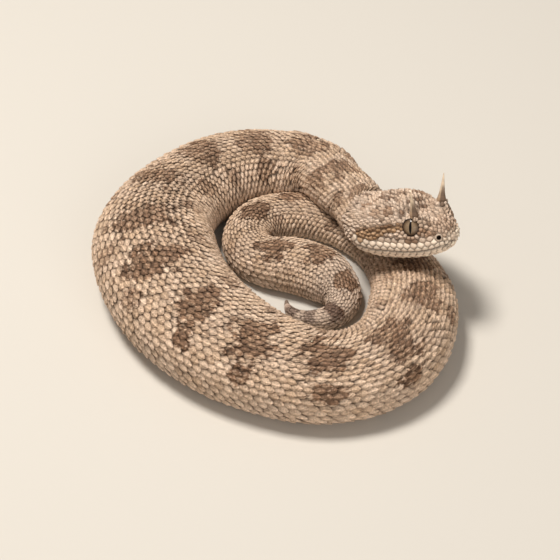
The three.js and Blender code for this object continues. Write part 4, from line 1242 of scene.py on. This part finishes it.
def paint_head_scales(base, lips, keel, by_mouth):
    """Colours of the head's scales: grained, painted with shade at the rims, by the mouth and on the walls,
    and with highlight on the keel and the middle, smoother on the lips.
    """
    count, rho = len(base), CELL_RINGS[:, None]
    tint = head_colour(base, random_shades(count))
    rim_shade = deep(rng.uniform(0.2, 0.8, count))
    # painted highlight on the keel and the dome's middle, and painted shade towards the rim, deeper on some
    # scales than on others
    tone = 0.9 + 0.2 * keel + 0.2 * (1 - rho**2) - rim_shade * rho**6
    tone = np.where(lips, 1.0 + 0.04 * (1 - rho**2) - 0.5 * rho**9, tone)
    grain = rng.normal(0, 1, by_mouth.shape) * np.where(lips, 0.3, 1)
    # by the mouth's line the scales are painted dark, as shade in the crease
    tone = tone * (1 + 0.11 * grain) * (1 - 0.85 * by_mouth)
    face = blend(tint[:, None, None] * tone[..., None], BROWN * 0.8, 0.6 * smooth((-grain - 1.0) / 0.6))
    # the edge and the walls are painted dark, as shade between the scales
    wall = blend(GAP_SHADE_BROWN * 0.75, tint[:, None] * 0.45, np.full((count, CELL_SIDES), 0.5))
    return np.concatenate([face.reshape(count, -1, 3), face[:, -1] * 0.75, wall], 1)


def add_head_scales():
    """The lips and the rings round eyes and horns at fixed places, then the rest spread between them."""
    fixed = np.concatenate([lip_places(), orbit_places()])
    return build_head_scales(np.concatenate([fixed[:, :3], spread_places(fixed)]))


NASAL_RIM = [  # distance from the nostril's middle, height, tone; the tone paints shade deep in the hole and at the sunken outer rim
    (0.58, -0.9, 0.04), (0.66, -0.3, 0.17), (0.76, -0.06, 0.65), (0.95, -0.02, 0.78), (1.12, -0.1, 0.73),
    (1.28, -0.35, 0.4),
]
# distance from the snout's tip, height, tone; the tone paints shade at the sunken rim
ROSTRAL_DOME = [
    (0.02, 0.2, 0.95), (0.4, 0.18, 0.95), (0.8, 0.1, 0.93), (1.1, -0.04, 0.88), (1.28, -0.22, 0.7),
    (1.36, -0.5, 0.4),
]


def add_round_scale(name, place, facing, stations, side):
    """A round scale through the stations given: the ones that the nostrils pierce, and the snout's tip."""
    turn = ring_turns(28)
    radius, height, tone = np.array(stations).T
    flat = deep(radius) * np.stack([np.cos(turn), np.sin(turn)], -1)
    local = raised(place, facing, flat, deep(height))
    faces = grid_faces(len(radius), len(turn), closed=True)[:, ::-side]
    tone = tone[:, None] * (1 + 0.12 * np.sin(5 * turn + 1) + 0.1 * np.cos(turn - 2))
    colours = blend(head_colour(place, np.zeros(())), RUST, 0.3 + 0 * tone) * tone[..., None]
    uv = (0.5 + 0.36 * flat.reshape(-1, 2))[faces.ravel()]
    return new_object(name, head_point(mirrored(local, side)), faces, colours, uv)


# ---------- eyes and horns ----------
SIDE_NAMES = {1: "left", -1: "right"}
IRIS = srgb(112, 91, 70)
IRIS_DARK = srgb(70, 52, 37)
IRIS_LIGHT = srgb(152, 130, 104)
PUPIL_BLACK, RIM_BLACK = np.array([0.004, 0.003, 0.003]), np.array([0.012, 0.008, 0.006])
HORN_FOOT = srgb(166, 137, 110)
HORN_TIP = srgb(224, 200, 172)
# brown of the painted shade on the horn's front side
HORN_PAINTED_SHADE = srgb(92, 68, 50)


def add_eye(side):
    """The eyeball, a flattened ball whose pupil and iris are painted about the way that it faces."""
    rings, sides = 64, 144
    angle, turn = np.linspace(0, math.pi * 0.62, rings)[:, None], ring_turns(sides)
    radius = EYE_RADIUS * np.sin(angle)
    disc = np.stack([radius * np.cos(turn), radius * np.sin(turn)], -1)
    out = EYE_BULGE - EYE_DEPTH * EYE_RADIUS + EYE_DEPTH * EYE_RADIUS * np.cos(angle)
    local = raised(EYE, EYE_FACING, disc, out[..., None])
    faces = grid_faces(rings, sides, closed=True)[:, ::side]
    disc = disc.reshape(-1, 2)
    uv = (0.5 + 0.48 * disc / EYE_RADIUS)[faces.ravel()]
    world = head_point(mirrored(local, side))
    return new_object("eye_ball_" + SIDE_NAMES[side], world, faces, iris_colour(disc / EYE_OPENING), uv)


def iris_colour(disc):
    """Colour of the eye at places from -1 to 1 across and up it: an upright slit in a spoked iris."""
    across, up = np.abs(disc[:, 0]), np.abs(disc[:, 1])
    far, turn = np.hypot(across, up), np.arctan2(disc[:, 1], disc[:, 0])
    spokes = 0.5 + 0.25 * np.sin(turn * 23 + 2 * np.sin(turn * 5)) + 0.25 * np.sin(turn * 41 + 1.3)
    slit = across / (0.15 * np.sqrt(np.clip(1 - (up / 0.74) ** 2, 1e-4, 1)))
    return layered(
        IRIS,
        (IRIS_LIGHT, clamp(0.9 * spokes * bump(far - 0.4, 0.35))),
        (IRIS_DARK, smooth((far - 0.5) / 0.4) * 0.85),
        (IRIS_LIGHT, 0.5 * (bump(slit - 1.35, 0.3) * (up < 0.76))),
        (PUPIL_BLACK, smooth((1.12 - slit) / 0.2) * smooth((0.76 - up) / 0.05)),
        (RIM_BLACK, smooth((far - 0.84) / 0.1)),
    )


def add_horn(side):
    """A ridged and banded spike, with painted shade on its front side near the foot."""
    rings, sides = 60, 48
    rise, turn = np.linspace(-HORN_SUNK, HORN_LENGTH, rings)[:, None], ring_turns(sides)
    share = clamp(rise / HORN_LENGTH)
    radius = (HORN_RADIUS - HORN_TIP_RADIUS) * (1 - share) ** HORN_TAPER + HORN_TIP_RADIUS
    radius = radius * (0.8 + 0.14 * bump(share, 0.16))
    radius = radius * np.where(share > 0.985, np.sqrt(np.clip((1 - share) / 0.015, 0.02, 1)), 1)
    keel = 1 + 0.08 * np.cos(4 * turn) + 0.018 * np.sin(turn * 13 + rise * 0.8)
    bands = 1 + 0.025 * np.sin(rise * 9 + 0.5 * np.sin(turn * 2)) * (1 - share)
    wide = radius * keel * bands
    local = np.stack([
        HORN_AT[0] + HORN_LEAN[0] * share + wide * np.cos(turn),
        side * (HORN_AT[1] + HORN_LEAN[1] * share) + wide * np.sin(turn),
        HORN_AT[2] + rise + 0 * turn,
    ], -1)
    faces = grid_faces(rings, sides, closed=True)[:, ::-1]
    # painted shade on the front of the horn near its foot, the side turned from the light
    front = 0.85 * smooth((np.cos(turn) - 0.1) / 0.35) * smooth((0.7 - share) / 0.4)
    tone = layered(HORN_FOOT, (HORN_TIP, smooth(share * 1.7) + 0 * turn), (HORN_PAINTED_SHADE, front))
    tone = tone * (1 + 0.1 * np.sin(rise * 3 + turn))[..., None]
    uv = tube_uv(faces, sides, rings)
    return new_object("horn_spike_" + SIDE_NAMES[side], head_point(local), faces, tone, uv)


# ---------- materials ----------
def set_inputs(node, values):
    for socket, value in values.items():
        node.inputs[socket].default_value = value


def shaded(name):
    made = bpy.data.materials.new(name)
    made.use_nodes = True
    return made, made.node_tree.nodes["Principled BSDF"]


def material(name, grain_size, contrast, roughness, relief_size, relief, specular=0.35, coat=0.0):
    """Takes its colour from the hide's own markings, broken up by grain, with fine relief."""
    made, shader = shaded(name)
    tree = made.node_tree

    def add(kind, joins=(), **values):
        node = tree.nodes.new("ShaderNode" + kind)
        set_inputs(node, {socket.replace("_", " "): value for socket, value in values.items()})
        for source, output, socket in joins:
            tree.links.new(source.outputs[output], node.inputs[socket])
        return node

    hide = add("VertexColor")
    hide.layer_name = "Hide"
    place = add("TexCoord")
    grain = add("TexNoise", [(place, "Object", "Vector")], Scale=grain_size, Detail=5, Roughness=0.65)
    limits = dict(From_Min=0.25, From_Max=0.75, To_Min=1 - contrast, To_Max=1 + contrast)
    spread = add("MapRange", [(grain, "Fac", "Value")], **limits)
    mix = add("VectorMath")
    mix.operation = "SCALE"
    rough = add("MapRange", [(grain, "Fac", "Value")], To_Min=roughness - 0.08, To_Max=roughness + 0.1)
    fine = add("TexNoise", [(place, "Object", "Vector")], Scale=relief_size, Detail=4)
    lift = add("Bump", [(fine, "Fac", "Height")], Strength=relief, Distance=0.0002)
    for source, output, target, socket in (
            (hide, "Color", mix, 0), (spread, "Result", mix, "Scale"), (mix, "Vector", shader, "Base Color"),
            (rough, "Result", shader, "Roughness"), (lift, "Normal", shader, "Normal")):
        tree.links.new(source.outputs[output], target.inputs[socket])
    set_inputs(shader, {"Specular IOR Level": specular})
    if coat:
        set_inputs(shader, {"Coat Weight": coat, "Coat Roughness": 0.04})
    return made


# ---------- putting it together ----------
FLESH = ["head", "lower_jaw", "neck", *[f"trunk_{n}" for n in range(1, 12)], "tail", "tail_tip"]

head_look = material("head_scales", 2300, 0.42, 0.62, 4200, 0.5, 0.2)
lip_look = material("lip_scales", 2300, 0.14, 0.5, 3200, 0.2, 0.3)
skin_look = material("skin_between_scales", 1800, 0.12, 0.75, 3500, 0.5, 0.15)
scale_look = material("keeled_scales", 2300, 0.55, 0.66, 4200, 0.9, 0.18)
belly_look = material("belly_scutes", 900, 0.06, 0.45, 2500, 0.2, 0.4)
eye_look = material("eye", 5200, 0.2, 0.35, 4000, 0.05, 0.05, coat=0.35)
horn_look = material("horn", 1500, 0.1, 0.42, 3000, 0.25, 0.4)

skin = add_skin()
coat = add_body_scales()
head_coat, lips = add_head_scales()
ventrals = add_ventrals()
spine = add_tail_spine()
nasals = [
    add_round_scale("nasal_scale_left", NOSTRIL, NOSTRIL_FACING, NASAL_RIM, 1),
    add_round_scale("nasal_scale_right", NOSTRIL, NOSTRIL_FACING, NASAL_RIM, -1),
    add_round_scale("rostral_scale", SNOUT_TIP, np.array([1.0, 0, 0]), ROSTRAL_DOME, 1),
]
looks = [(skin, skin_look), (ventrals, belly_look), (head_coat, head_look), (lips, lip_look),
         (spine, lip_look), *[(c, scale_look) for c in coat], *[(n, head_look) for n in nasals]]
for piece, look in looks:
    piece.data.materials.append(look)
    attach(piece, "root")
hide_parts(*FLESH)
for side, word in SIDE_NAMES.items():
    eye = add_eye(side)
    eye.data.materials.append(eye_look)
    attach(eye, "root")
    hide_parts("eye_" + word)
    spike = add_horn(side)
    spike.data.materials.append(horn_look)
    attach(spike, "root")
    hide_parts("horn_" + word)


# ---------- floor, light and camera ----------
FLOOR_HALF = 3.0
STUDIO_WHITE = (1.0, 0.97, 0.93)
CAMERA_RISE, MM_PER_PIXEL, IMAGE = math.radians(43), 0.31, 560


def placed(name, data, place, turned=None):
    made = bpy.data.objects.new(name, data)
    made.location = place
    if turned:
        made.rotation_mode = "QUATERNION"
        made.rotation_quaternion = turned
    bpy.context.scene.collection.objects.link(made)
    return made


def add_floor():
    mesh = bpy.data.meshes.new("floor")
    corners = [(x * FLOOR_HALF, y * FLOOR_HALF, 0) for x, y in ((-1, -1), (1, -1), (1, 1), (-1, 1))]
    mesh.from_pydata(corners, [], [(0, 1, 2, 3)])
    look, shader = shaded("floor")
    set_inputs(shader, {"Roughness": 0.9, "Specular IOR Level": 0.1, "Base Color": (0.62, 0.58, 0.52, 1)})
    mesh.materials.append(look)
    floor = placed("floor", mesh, (0, 0, 0))


def add_light(name, place, size, power, colour):
    """A soft square light that faces the snake."""
    light = bpy.data.lights.new(name, "AREA")
    light.size, light.energy, light.color = size, power, colour
    placed(name, light, place, (Vector((0, 0, 0.01)) - Vector(place)).to_track_quat("-Z", "Y"))


def add_camera():
    """The photo's view: a long lens, raised, that shows so many millimetres for each pixel."""
    data = bpy.data.cameras.new("camera")
    data.lens, data.sensor_width = 150, 36
    data.clip_start, data.clip_end = 0.01, 20
    away = MM_PER_PIXEL * IMAGE * data.lens / data.sensor_width * 0.001
    back_and_up = Vector((0, -math.cos(CAMERA_RISE), math.sin(CAMERA_RISE)))
    camera = placed("camera", data, Vector(SHIFT) * 0.001 + away * back_and_up)
    camera.rotation_euler = (math.pi / 2 - CAMERA_RISE, 0, 0)
    bpy.context.scene.camera = camera


add_floor()
add_light("key", (-0.26, 0.08, 0.87), 0.24, 9.2, (1.0, 0.968, 0.925))
add_light("fill", (0.3, -0.85, 0.4), 0.8, 3.7, STUDIO_WHITE)
world = bpy.data.worlds.new("studio")
world.use_nodes = True
set_inputs(world.node_tree.nodes["Background"], {"Color": (*STUDIO_WHITE, 1), "Strength": 0.25})
bpy.context.scene.world = world
bpy.context.scene.view_settings.view_transform = "Standard"
add_camera()
